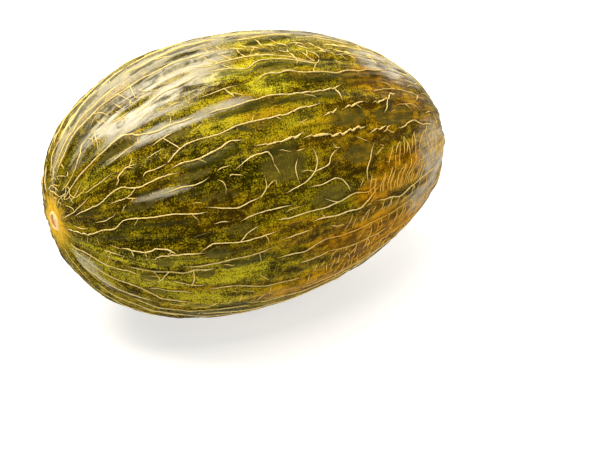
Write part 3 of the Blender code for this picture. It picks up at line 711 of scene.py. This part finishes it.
def guide_lines(name, strokes, seed):
    """Every stroke as a run of edges on the smooth body, with its width, taper, colour and own phase."""
    draw = random.Random(seed)
    points = []
    edges = []
    values = {"half_width": [], "fullness": [], "russet": [], "phase": [], "brokenness": []}
    for path, half_width, joined, tied in strokes:
        distance, turn = np.array(path).T
        first = len(points)
        points += body_point(distance, turn).tolist()
        edges += [(first + k, first + k + 1) for k in range(len(path) - 1)]
        from_ground = np.degrees(np.minimum(turn, FULL_TURN - turn))
        wear = np.interp(from_ground, *GROUND_WEAR) * np.interp(distance, *STEM_WEAR)
        broken = soft_spot(distance, turn, BROKEN_SPOTS) * np.interp(half_width, *BROKEN_BY_HALF_WIDTH)
        values["half_width"] += (half_width * wear).tolist()
        values["fullness"] += [float(joined)] + [1.0] * (len(path) - 2) + [float(tied)]
        values["russet"] += soft_spot(distance, turn, RUSSET_SPOTS).tolist()
        values["phase"] += [draw.uniform(0.0, 10.0)] * len(path)
        values["brokenness"] += broken.tolist()
    lines = bpy.data.meshes.new(name)
    lines.from_pydata(points, edges, [])
    note(lines, values)
    return lines


def new_finish(name):
    """A new material, its node tree, and the node that takes the look."""
    material = bpy.data.materials.new(name)
    material.use_nodes = True
    tree = material.node_tree
    return material, tree, tree.nodes["Principled BSDF"]


def surface_value(tree, name, output="Fac"):
    return add_node(tree, "ShaderNodeAttribute", output, attribute_name=name)


def paint(under, *coats):
    """Colours laid one over another, each by its share. A mix node's colour sockets are known by number."""
    for over, share in coats:
        mix = share.tree.nodes.new("ShaderNodeMix")
        mix.data_type = "RGBA"
        fill(mix, {0: share, 6: under, 7: over})
        under = Wire(mix.outputs[2])
    return under


def bumps(height, strength, depth):
    """Unevenness too fine for the mesh."""
    return add_node(height.tree, "ShaderNodeBump", Height=height, Strength=strength, Distance=depth)


DEEP_GREEN = (0.016, 0.013, 0.0003, 1.0)
OLIVE_BROWN = (0.029, 0.018, 0.0004, 1.0)
LEAF_YELLOW = (0.375, 0.298, 0.0050, 1.0)
FLECK_OCHRE = (0.390, 0.246, 0.0040, 1.0)
FRESH_YELLOW = (0.530, 0.470, 0.0200, 1.0)
# Dark green below bold strokes: partly the rind's own colour, partly painted shade
LEE_GREEN_AND_PAINTED_SHADE = (0.031, 0.028, 0.0020, 1.0)
SLATE_GREEN = (0.088, 0.070, 0.0110, 1.0)
DARK_RUSSET = (0.122, 0.051, 0.0001, 1.0)
RUSSET_BROWN = (0.570, 0.276, 0.0010, 1.0)
STEM_YELLOW = (0.640, 0.380, 0.0120, 1.0)
# Pale grey of the bloom: partly wax, mostly painted sheen
WAX_BLOOM_AND_PAINTED_SHEEN_GREY = (0.510, 0.475, 0.370, 1.0)


def rind_finish():
    """Waxed green rind: fine yellow flecks on dark green, drawn out into streaks, painted shade below bold
    strokes, and a pale grey bloom that is partly wax and mostly painted sheen.
    """
    material, tree, skin = new_finish("waxed_rind")
    place = add_node(tree, "ShaderNodeTexCoord", "Object")
    streak = surface_value(tree, "streak", "Vector")
    names = ("dark", "fresh_and_painted_light", "russet", "wax_bloom_and_painted_sheen", "from_stem", "split_gap", "lee_shade")
    dark, fresh_and_painted_light, russet, wax_bloom_and_painted_sheen, from_stem, split_gap, lee_painted_shade = (surface_value(tree, name) for name in names)

    specks = cloud(place, 0.0008, detail=1.0, seed=1.0)
    flecks = cloud(place, 0.0028, seed=2.0)
    strands = cloud(streak, 0.0030, seed=3.0)
    swathes = cloud(streak, 0.0110, detail=3.0, roughness=0.6, seed=4.0)
    mottles = cloud(place, 0.0055, seed=10.0)
    drifts = cloud(place, 0.0350, seed=5.0)
    tints = cloud(streak, 0.0090, seed=9.0)

    # The share of yellow: flecks everywhere, more of them in the fresh spots, which low on the near side are
    # also painted light
    yellow = specks * 2.2 + flecks * 0.8 + strands * 1.2 + swathes * 1.3 + drifts * 0.6 + mottles
    share = (yellow + fresh_and_painted_light * 0.36).between(3.20, 4.25) * specks.between(0.34, 0.56, 0.60, 1.0)
    ground = paint(DEEP_GREEN, (OLIVE_BROWN, drifts.between(0.35, 0.65)), (DARK_RUSSET, russet))
    rusty = mottles * 0.6 + strands * 0.6
    fleck = paint(
        LEAF_YELLOW,
        (FLECK_OCHRE, tints.between(0.46, 0.68)),
        (FRESH_YELLOW, fresh_and_painted_light.between(0.1, 0.9)),
        (RUSSET_BROWN, russet * rusty.between(0.46, 0.66, 0.30, 1.0)),
    )

    # Smooth patches without flecks, with ragged edges, and the dark bands in the lee of bold strokes, whose
    # darkness is partly painted shade
    ragged = swathes * 1.4 + flecks * 1.2
    in_dark = (dark + ragged).between(1.60, 2.15) * strands.between(0.35, 0.60, 0.90, 0.68)
    in_lee_with_painted_shade = (lee_painted_shade + ragged).between(1.52, 2.00) * strands.between(0.35, 0.60, 0.95, 0.70)

    # Deep yellow round the stem scar, drawn out into rays, and a darker brown edge against each split
    rays = strands * 0.030 + from_stem
    yolk = rays.between(0.0222, 0.0360, 1.0, 0.0) * flecks.between(0.36, 0.54, 0.75, 1.0)
    dark_split_edge = (flecks * 0.0012 + split_gap).between(0.0012, 0.0024, 0.45, 0.0)

    # A pale grey bloom on the shoulders, the top and the blossom end, broken into lenses and kept out of the
    # lee: partly wax, mostly painted sheen where the lights and the table reflect
    wax_and_sheen_lenses = (strands * 0.5 + swathes * 0.8).between(0.50, 0.67) * (in_lee_with_painted_shade * -0.95 + 1.0)
    wax_and_painted_sheen = wax_bloom_and_painted_sheen * wax_and_sheen_lenses
    colour = paint(
        ground,
        (fleck, share),
        (SLATE_GREEN, in_dark),
        (LEE_GREEN_AND_PAINTED_SHADE, in_lee_with_painted_shade),
        (RUSSET_BROWN, russet * rusty.between(0.54, 0.76, 0.0, 0.55)),
        (STEM_YELLOW, yolk),
        (OLIVE_BROWN, dark_split_edge),
        (WAX_BLOOM_AND_PAINTED_SHEEN_GREY, wax_and_painted_sheen * 0.76),
    )
    look = {
        "Base Color": colour,
        "Roughness": swathes * 0.30 + 0.26,
        "Specular IOR Level": 0.02,
        "Coat Weight": wax_bloom_and_painted_sheen * 0.25 + in_lee_with_painted_shade * 0.08 + wax_and_painted_sheen * 0.30,
        "Coat Roughness": 0.26,
        "Normal": bumps(strands * 0.7 + specks * 0.5, 0.35, 0.0006),
    }
    fill(skin, look)
    return material


def rind_relief(material, sizes):
    """Fine wrinkles along the fruit, a slight unevenness, and a welt beside every split of the rind."""
    tree, given = growth_tree("rind_relief", sizes)
    position = add_node(tree, "GeometryNodeInputPosition")
    splits = given["Splits"].into("GeometryNodeObjectInfo", "Geometry")
    gap = splits.into("GeometryNodeProximity", "Distance", target_element="EDGES", Sample_Position=position)
    noted = {"data_type": "FLOAT", "domain": "POINT", "Name": "split_gap", "Value": gap}
    skin = given["Geometry"].into("GeometryNodeStoreNamedAttribute", **noted)
    welt = gap.between(0.0, given["Welt reach"], 1.0, 0.0) * given["Welt height"]
    swelling = named_value(tree, "lee_swell") * given["Lee swell height"]
    wrinkles = cloud(named_value(tree, "streak", "FLOAT_VECTOR"), given["Wrinkle width"], seed=given["Seed"])
    deeper = named_value(tree, "from_stem").between(0.050, 0.160, given["Stem wrinkles"], 1.0)
    wrinkle = (wrinkles - 0.5) * given["Wrinkle depth"] * deeper
    lump = (cloud(position, 0.055, seed=given["Seed"]) - 0.5) * given["Unevenness"]
    height = (welt + swelling) + (wrinkle + lump)
    offset = add_node(tree, "GeometryNodeInputNormal").vector("SCALE", Scale=height)
    finish_tree(skin.into("GeometryNodeSetPosition", Offset=offset), material)
    return tree


splits = new_object("splits", guide_lines("splits", net.strokes, 1))
rind_sizes = {
    "Splits": splits,
    "Welt height": 0.00030,
    "Welt reach": 0.0045,
    "Lee swell height": 0.00120,
    "Wrinkle depth": 0.00180,
    "Wrinkle width": 0.0046,
    "Stem wrinkles": 1.7,
    "Unevenness": 0.0030,
    "Seed": 3.0,
}
rind = grow("rind", skin_sheet(), rind_relief(rind_finish(), rind_sizes), rind_sizes)
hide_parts("melon")
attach(rind, "root")

# Net
# Dry cork that healed the splits: cream, a millimetre or two wide, and raised like a cord glued on. It broke
# and mended many times as the fruit grew, so every stroke is a row of short slanting scabs, and finer threads
# branch off between the strokes.
CORK_CREAM = (0.820, 0.660, 0.270, 1.0)
CORK_STRAW = (0.700, 0.510, 0.100, 1.0)
CORK_TAN = (0.720, 0.400, 0.050, 1.0)
FINE_SEED = 41
FINE_CLEARANCE = 0.0019
FINE_STEP = 0.0028
FINE_HALF_WIDTH = 0.00042
FINE_BENDS = {"curl": 0.12, "waver": 0.14}
TWIG_SHARE = 0.20
FINE_LOOSE_THREADS = (420, 0.02, (0, 0, 0, 15, -15, 40, 90, 130), 12, (0.005, 0.014), FINE_STEP)
TWIG_LEANS = (18, 60)
TWIG_LENGTHS = (0.003, 0.008)
FAN_THREADS = 22
FAN_START = (0.214, 97)
FAN_RUN = (0.046, -4)
FAN_HEADINGS = (78, 96)
FAN_HEADING_DROP = 26
FAN_CURL = (0.02, 0.14)
CROWN_TICKS = 34
CROWN_ALONG = (0.135, 0.262)
CROWN_ROUND = (164, 185)
CROWN_HEADINGS = (-74, -58)
CROWN_CLEARANCE = 0.0024
FINE_NEAR_STROKES = (
    (1.2, (126, 120.6), (127, 122), (132, 121), (134, 120)), (1.0, (120, 124), (128, 125)),
    (1.0, (154, 120), (155, 117)), (1.1, (146, 114), (152, 115)), (1.2, (168, 124), (174, 124)),
    (1.0, (36, 99), (35.5, 92)), (1.0, (37, 80), (36, 66)), (1.2, (37, 171), (38, 164)),
    (1.1, (62, 117), (67, 120)), (1.2, (236, 166), (239, 165), (240, 162)),
    (1.1, (232, 123), (236, 124), (240, 125.5)), (1.0, (237, 122.6), (243, 122)),
    (1.1, (214, 104), (220, 103.5)), (1.1, (116, 83.5), (123, 83)),
    (1.1, (182, 91), (188, 89.5), (194, 88)), (1.2, (24, 208), (28, 189)),
    (1.2, (20, 210), (23, 192), (26, 174)), (1.2, (17, 208), (19, 185), (21, 162)),
    (1.1, (22, 161), (27, 149)),
    (1.3, (26, 162), (30, 159), (32, 153), (31, 147), (33, 142), (37, 140), (47, 143)),
    (1.1, (24, 146), (32, 148)), (1.2, (29, 148), (31, 135)),
    (1.2, (65, 134), (68, 137), (72, 140), (77, 138)),
)
FINE_FIELDS = (
    (0.248, 104, 0.018, 9, 110, 60, 0.008, 0.019),  # comb at the near blossom end
    (0.284, 106, 0.014, 14, 60, 80, 0.006, 0.012),  # pale threads round the blossom end
    (0.232, 76, 0.040, 13, 190, 62, 0.005, 0.013),  # russet threads low at the blossom end
    (0.218, 98, 0.012, 5, 60, 50, 0.004, 0.010),  # node where the low strokes meet
    (0.206, 66, 0.030, 7, 90, 86, 0.004, 0.008),  # ticks low on the near side
    (0.088, 168, 0.026, 6, 50, 108, 0.003, 0.006),  # shoulder ticks
    (0.026, 172, 0.010, 30, 70, 84, 0.003, 0.007),  # ladder above the stem scar
    (0.170, 240, 0.110, 46, 160, 60, 0.005, 0.012),  # threads on the back
    (0.180, 300, 0.110, 40, 120, 75, 0.005, 0.012),  # threads on the far side
    (0.200, 30, 0.100, 24, 80, 80, 0.005, 0.012),  # threads on the underside
)


def walk(place, headings):
    """Fine steps over the rind, each at its own angle to the fruit's length."""
    path = []
    for heading in headings:
        path.append(place)
        across = FINE_STEP * sin(heading) / float(radius_at(place[0]))
        place = (place[0] + FINE_STEP * cos(heading), place[1] + across)
    return path


def fan_of_threads(draw):
    """Threads that rise side by side from a line at the near blossom end and bend toward the scar."""
    threads = []
    for count in range(FAN_THREADS):
        share = count / (FAN_THREADS - 1)
        heading = radians(draw.uniform(*FAN_HEADINGS) - FAN_HEADING_DROP * share)
        distance = FAN_START[0] + FAN_RUN[0] * share + draw.uniform(-0.001, 0.001)
        place = (distance, radians(FAN_START[1] + FAN_RUN[1] * share))
        headings = []
        for _ in range(draw.randrange(4, 8)):
            heading -= draw.uniform(*FAN_CURL)
            headings.append(heading)
        threads.append(walk(place, headings))
    return threads


def crown_ticks(draw):
    """Straight short ticks that slant across the crown of the fruit, side by side."""
    ticks = []
    for _ in range(CROWN_TICKS):
        place = (draw.uniform(*CROWN_ALONG), radians(draw.uniform(*CROWN_ROUND)))
        heading = radians(draw.uniform(*CROWN_HEADINGS))
        ticks.append(walk(place, [heading] * draw.randrange(4, 7)))
    return ticks


def fine_net(draw):
    """The thin threads between the strokes: listed ones, a fan, ticks, twigs, fields and loose hairs."""
    fine = Net(FINE_CLEARANCE)
    for path, *_ in net.strokes:
        fine.remember(path)
    lay_listed(fine, draw, FINE_NEAR_STROKES, FINE_STEP, FINE_HALF_WIDTH)
    for path in fan_of_threads(draw):
        fine.keep(path, FINE_HALF_WIDTH * draw.uniform(0.9, 1.3), False, False)
    for path in crown_ticks(draw):
        fine.lay(path, FINE_HALF_WIDTH * draw.uniform(1.0, 1.5), shortest=1, clearance=CROWN_CLEARANCE)
    for path, *_ in net.strokes:
        for place in path[1:-1]:
            if draw.random() < TWIG_SHARE:
                lean = radians(draw.uniform(*TWIG_LEANS))
                heading = draw.choice((-lean, lean, pi - lean, pi + lean))
                length = draw.uniform(*TWIG_LENGTHS)
                twig = wandering_path(draw, place, heading, length, FINE_STEP, **FINE_BENDS)
                fine.lay(twig, FINE_HALF_WIDTH * draw.uniform(0.8, 1.2), joined=True, shortest=1)
    lay_fields(fine, draw, FINE_FIELDS, FINE_STEP, FINE_HALF_WIDTH, **FINE_BENDS)
    for path in loose_threads(draw, *FINE_LOOSE_THREADS, **FINE_BENDS):
        fine.lay(path, FINE_HALF_WIDTH * draw.uniform(0.6, 1.0), shortest=1)
    return fine.strokes


def dress_cork(skin, colour, grain, roughness, bump_strength, bump_depth):
    """The dull, grainy face that all cork has."""
    look = {
        "Base Color": colour,
        "Roughness": grain * 0.3 + roughness,
        "Specular IOR Level": 0.15,
        "Normal": bumps(grain, bump_strength, bump_depth),
    }
    fill(skin, look)


def cork_finish():
    """Dry cork: cream on the bold strokes, straw where it is thin, tan toward the blossom end."""
    material, tree, skin = new_finish("dry_cork")
    place = add_node(tree, "ShaderNodeTexCoord", "Object")
    grain = cloud(place, 0.0016, detail=3.0, roughness=0.7, seed=6.0)
    patches = cloud(place, 0.0120, seed=7.0)
    pale = surface_value(tree, "half_width").between(0.00040, 0.00105, 0.45, 1.0)
    tan = surface_value(tree, "russet") * patches.between(0.30, 0.65, 0.60, 1.2)
    colour = paint(
        CORK_STRAW,
        (CORK_CREAM, pale * patches.between(0.30, 0.60, 0.55, 1.0)),
        (CORK_TAN, calculate("MINIMUM", tan, 1.0)),
        (CORK_TAN, grain.between(0.32, 0.50, 0.50, 0.0)),
    )
    dress_cork(skin, colour, grain, 0.6, 0.5, 0.0004)
    return material


def cork_strips(material, sizes):
    """Lays a ragged cord of cork along every line, on the face of the rind."""
    tree, given = growth_tree("cork_strips", sizes)
    rind_face = given["Rind"].into("GeometryNodeObjectInfo", "Geometry")
    position = add_node(tree, "GeometryNodeInputPosition")
    normal = add_node(tree, "GeometryNodeInputNormal")
    lines = given["Geometry"].into("GeometryNodeMeshToCurve")
    lines = lines.into("GeometryNodeCurveSplineType", spline_type="CATMULL_ROM")
    lines = lines.into("GeometryNodeResampleCurve", mode="LENGTH", Length=given["Step"])
    inner = 1.0 - add_node(tree, "GeometryNodeCurveEndpointSelection")
    blur = {"data_type": "FLOAT_VECTOR", "Iterations": given["Rounding"], "Weight": inner}
    lines = lines.into("GeometryNodeSetPosition", Position=position.into("GeometryNodeBlurAttribute", **blur))
    facing = {"data_type": "FLOAT_VECTOR", "Value": normal, "Sample_Position": position}
    up = rind_face.into("GeometryNodeSampleNearestSurface", **facing)
    side = add_node(tree, "GeometryNodeInputTangent").vector("CROSS_PRODUCT", up).vector("NORMALIZE")

    # Each scab starts on one side of the line and ends on the other
    brokenness = named_value(tree, "brokenness")
    along = add_node(tree, "GeometryNodeSplineParameter", "Length")
    uneven = cloud(position, 0.018, seed=given["Seed"])
    scabs = along / given["Scab length"] + (uneven * 1.6 + named_value(tree, "phase"))
    through = calculate("FRACT", scabs)
    slant = (0.5 - through) * (brokenness * given["Scab slant"])
    wandering = cloud(position, given["Wander length"], detail=3.0, roughness=0.75, seed=given["Seed"] + 4.0)
    wander = (wandering - 0.5) * given["Wander"]
    lines = lines.into("GeometryNodeSetPosition", Offset=side.vector("SCALE", Scale=slant + wander))

    # Drawn down onto the rind, and turned to stand up from it
    nearest = {"target_element": "FACES", "Sample_Position": position}
    lines = lines.into("GeometryNodeSetPosition", Position=rind_face.into("GeometryNodeProximity", **nearest))
    lines = lines.into("GeometryNodeSetCurveNormal", mode="FREE", Normal=up)

    # Thin at a loose end and where two scabs meet
    frayed = (cloud(position, 0.0020, roughness=0.6, seed=given["Seed"]) - 0.5) * given["Raggedness"]
    scab_end = calculate("MINIMUM", through, 1.0 - through)
    thinned = brokenness * scab_end.between(0.0, 0.18, 0.75, 0.0)
    width = named_value(tree, "half_width") * given["Width share"] * (brokenness * 0.30 + 1.0)
    width = width * (frayed + 1.0) * named_value(tree, "fullness").between(0.0, 1.0, 0.12, 1.0)
    ring = given["Profile sides"].into("GeometryNodeCurvePrimitiveCircle", Radius=1.0)
    squash = add_node(tree, "ShaderNodeCombineXYZ", 0, 1.0, given["Flatness"], 1.0)
    ring = ring.into("GeometryNodeTransform", Scale=squash)
    cord = {"Profile_Curve": ring, "Scale": width * (1.0 - thinned), "Fill_Caps": True}
    finish_tree(lines.into("GeometryNodeCurveToMesh", **cord), material)
    return tree


# Sizes of a strip of cork: for the strokes, for the threads
STRIP_SIZES = {
    "Step": (0.0010, 0.0009),
    "Rounding": (5, 3),
    "Scab length": (0.0085, 0.0040),
    "Scab slant": (0.0014, 0.0003),
    "Wander": (0.0014, 0.0009),
    "Wander length": (0.0080, 0.0050),
    "Raggedness": (1.9, 1.3),
    "Width share": (0.51, 1.0),
    "Flatness": (0.55, 0.55),
    "Profile sides": (6, 5),
    "Seed": (1.0, 2.0),
}
stroke_sizes = {"Rind": rind, **{name: pair[0] for name, pair in STRIP_SIZES.items()}}
thread_sizes = {"Rind": rind, **{name: pair[1] for name, pair in STRIP_SIZES.items()}}
strips = cork_strips(cork_finish(), stroke_sizes)
stroke_lines = guide_lines("net_strokes", net.strokes, 2)
strokes = grow("net_strokes", stroke_lines, strips, stroke_sizes)
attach(strokes, "root")
thread_lines = guide_lines("net_threads", fine_net(random.Random(FINE_SEED)), 3)
threads = grow("net_threads", thread_lines, strips, thread_sizes)
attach(threads, "root")
bpy.data.objects.remove(splits)

# Stem scar
# The round mark left when the ripe fruit came off its stalk: a disc of pale cork about 11 mm across, with a
# raised lip, a brown ring inside it and a pitted middle where the strands of the stalk went in.
STEM_DISC = (
    (0.0, -0.0004), (0.0006, -0.0006), (0.0013, -0.0003), (0.0020, -0.0006), (0.0027, -0.0003),
    (0.0034, -0.0007), (0.0040, -0.0006), (0.0045, 0.0002), (0.0050, 0.0008), (0.0056, 0.0007),
    (0.0062, 0.0001), (0.0069, -0.0006), (0.0076, -0.0018),
)
DISC_SIDES = 48
DISC_PLUG_DEPTH = 0.0040
SCAR_CREAM = (0.800, 0.560, 0.260, 1.0)
SCAR_PINK = (0.640, 0.340, 0.130, 1.0)
SCAR_BROWN = (0.240, 0.095, 0.030, 1.0)


def scar_disc(name, at_blossom, rings, roughening, seed):
    """A disc of cork set into the rind at a pole, from rings of points, and closed underneath."""
    draw = random.Random(seed)
    disc = bmesh.new()
    from_middle = disc.verts.layers.float.new("from_middle")

    def point_at(away, turn, height):
        distance = np.array(POLE_TO_POLE - away if at_blossom else away)
        angle = np.array(turn)
        return Vector(body_point(distance, angle) + outward(distance, angle) * height)

    middle = disc.verts.new(point_at(0.0, 0.0, rings[0][1]))
    loops = []
    for away, height in rings[1:]:
        wobble = [draw.uniform(-roughening, roughening) for _ in range(DISC_SIDES)]
        loop = []
        for k in range(DISC_SIDES):
            turn = FULL_TURN * k / DISC_SIDES
            stretch = 1.0 + 0.05 * sin(2.0 * turn + seed) + 0.03 * sin(5.0 * turn + 2.0 * seed)
            uneven = 0.5 * (wobble[k] + wobble[k - 1])
            vertex = disc.verts.new(point_at(away * stretch, turn, height + uneven))
            vertex[from_middle] = away / rings[-1][0]
            loop.append(vertex)
        loops.append(loop)
    under = disc.verts.new(point_at(0.0, 0.0, -DISC_PLUG_DEPTH))
    under[from_middle] = 1.0
    for k in range(DISC_SIDES):
        after = (k + 1) % DISC_SIDES
        disc.faces.new((middle, loops[0][k], loops[0][after]))
        for inner, outer in zip(loops, loops[1:]):
            disc.faces.new((inner[k], outer[k], outer[after], inner[after]))
        disc.faces.new((under, loops[-1][after], loops[-1][k]))
    bmesh.ops.recalc_face_normals(disc, faces=disc.faces)
    mesh = bpy.data.meshes.new(name)
    disc.to_mesh(mesh)
    disc.free()
    mesh.shade_smooth()
    return new_object(name, mesh)


def scar_finish():
    """Cork of the scars: pale lip, brown ring inside it, pinkish pitted middle."""
    material, tree, skin = new_finish("scar_cork")
    place = add_node(tree, "ShaderNodeTexCoord", "Object")
    grain = cloud(place, 0.0012, detail=3.0, roughness=0.7, seed=8.0)
    out = grain * 0.10 + (surface_value(tree, "from_middle") - 0.05)
    colour = paint(
        SCAR_PINK,
        (SCAR_CREAM, grain.between(0.42, 0.62)),
        (SCAR_BROWN, grain.between(0.30, 0.42, 0.55, 0.0)),
        (SCAR_BROWN, out.between(0.42, 0.52) * out.between(0.54, 0.64, 0.7, 0.0)),
        (SCAR_CREAM, out.between(0.56, 0.66, 0.0, 0.8)),
        (STEM_YELLOW, out.between(0.76, 0.90)),
    )
    dress_cork(skin, colour, grain, 0.55, 0.6, 0.0005)
    return material


scar_cork = scar_finish()
stem_scar = scar_disc("stem_scar", False, STEM_DISC, 0.00022, 11)
stem_scar.data.materials.append(scar_cork)
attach(stem_scar, "root")

# Blossom scar
# The small dry mark where the flower sat, at the other end: a corky button about 7 mm across with a dimple.
BLOSSOM_DISC = (
    (0.0, -0.0003), (0.0006, -0.0005), (0.0013, -0.0006), (0.0020, -0.0002), (0.0027, 0.0004),
    (0.0033, 0.0005), (0.0040, 0.0001), (0.0048, -0.0006), (0.0056, -0.0016),
)
blossom_scar = scar_disc("blossom_scar", True, BLOSSOM_DISC, 0.00015, 12)
blossom_scar.data.materials.append(scar_cork)
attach(blossom_scar, "root")

# Table
# A white sheet of card, large enough to fill the picture, lit like a lightbox.
TABLE_CORNERS = ((-4.0, -4.0, -0.0003), (4.0, -4.0, -0.0003), (4.0, 4.0, -0.0003), (-4.0, 4.0, -0.0003))
TABLE_GREY = (0.50, 0.50, 0.50, 1.0)
TABLE_GLOW = 0.65
WHITE = (1.0, 1.0, 1.0, 1.0)

table_sheet = bpy.data.meshes.new("table")
table_sheet.from_pydata(TABLE_CORNERS, [], [(0, 1, 2, 3)])
white_card, _, card = new_finish("white_card")
fill(card, {"Base Color": TABLE_GREY, "Roughness": 0.9})
fill(card, {"Emission Color": WHITE, "Emission Strength": TABLE_GLOW})
table_sheet.materials.append(white_card)
table = new_object("table", table_sheet)

# Lights
# A large softbox high behind the stem end, which draws the broad sheen on the shoulder, others above, behind
# and at the right, two weak ones in front, and dim light from the room.
SOFTBOXES = (
    ("softbox_high_left", -132, 60, 1.15, 0.85, 22.0),
    ("softbox_above", -10, 76, 1.4, 0.8, 14.0),
    ("softbox_behind", 165, 30, 1.5, 1.2, 10.0),
    ("softbox_right", 118, 22, 1.5, 1.1, 10.0),
    ("softbox_front_right", 42, 30, 1.6, 0.9, 5.0),
    ("softbox_front_left", -80, 12, 1.6, 0.9, 4.4),
)
LIGHT_WARMTH = (1.0, 0.94, 0.82)
ROOM_BRIGHTNESS = 0.08


def direction(azimuth, elevation):
    """The way from the fruit toward an angle round it and a height, both in degrees."""
    turn = radians(azimuth)
    rise = radians(elevation)
    return Vector((sin(turn) * cos(rise), -cos(turn) * cos(rise), sin(rise)))


fruit_middle = Vector(BODY_CENTRE)
for name, azimuth, elevation, away, size, power in SOFTBOXES:
    lamp = bpy.data.lights.new(name, "AREA")
    lamp.shape = "SQUARE"
    lamp.size = size
    lamp.energy = power
    lamp.color = LIGHT_WARMTH
    softbox = new_object(name, lamp)
    heading = direction(azimuth, elevation)
    softbox.location = fruit_middle + away * heading
    softbox.rotation_euler = (-heading).to_track_quat("-Z", "Y").to_euler()
room = bpy.data.worlds.new("room")
room.use_nodes = True
fill(room.node_tree.nodes["Background"], {"Color": WHITE, "Strength": ROOM_BRIGHTNESS})
bpy.context.scene.world = room
bpy.context.scene.view_settings.view_transform = "Standard"

# Camera
# It looks down on the fruit from the near side, a little toward the stem end.
CAMERA_AZIMUTH = -27.38
CAMERA_ELEVATION = 27.47
CAMERA_AWAY = 0.9625
LOOK_AZIMUTH = radians(-29.43)
LOOK_DOWN = radians(29.62)
LENS_LENGTH = 93.26
SENSOR_WIDTH = 36.0

lens = bpy.data.cameras.new("camera")
lens.sensor_width = SENSOR_WIDTH
lens.lens = LENS_LENGTH
camera = new_object("camera", lens)
camera.location = fruit_middle + CAMERA_AWAY * direction(CAMERA_AZIMUTH, CAMERA_ELEVATION)
camera.rotation_euler = (pi / 2.0 - LOOK_DOWN, 0.0, LOOK_AZIMUTH)
bpy.context.scene.camera = camera
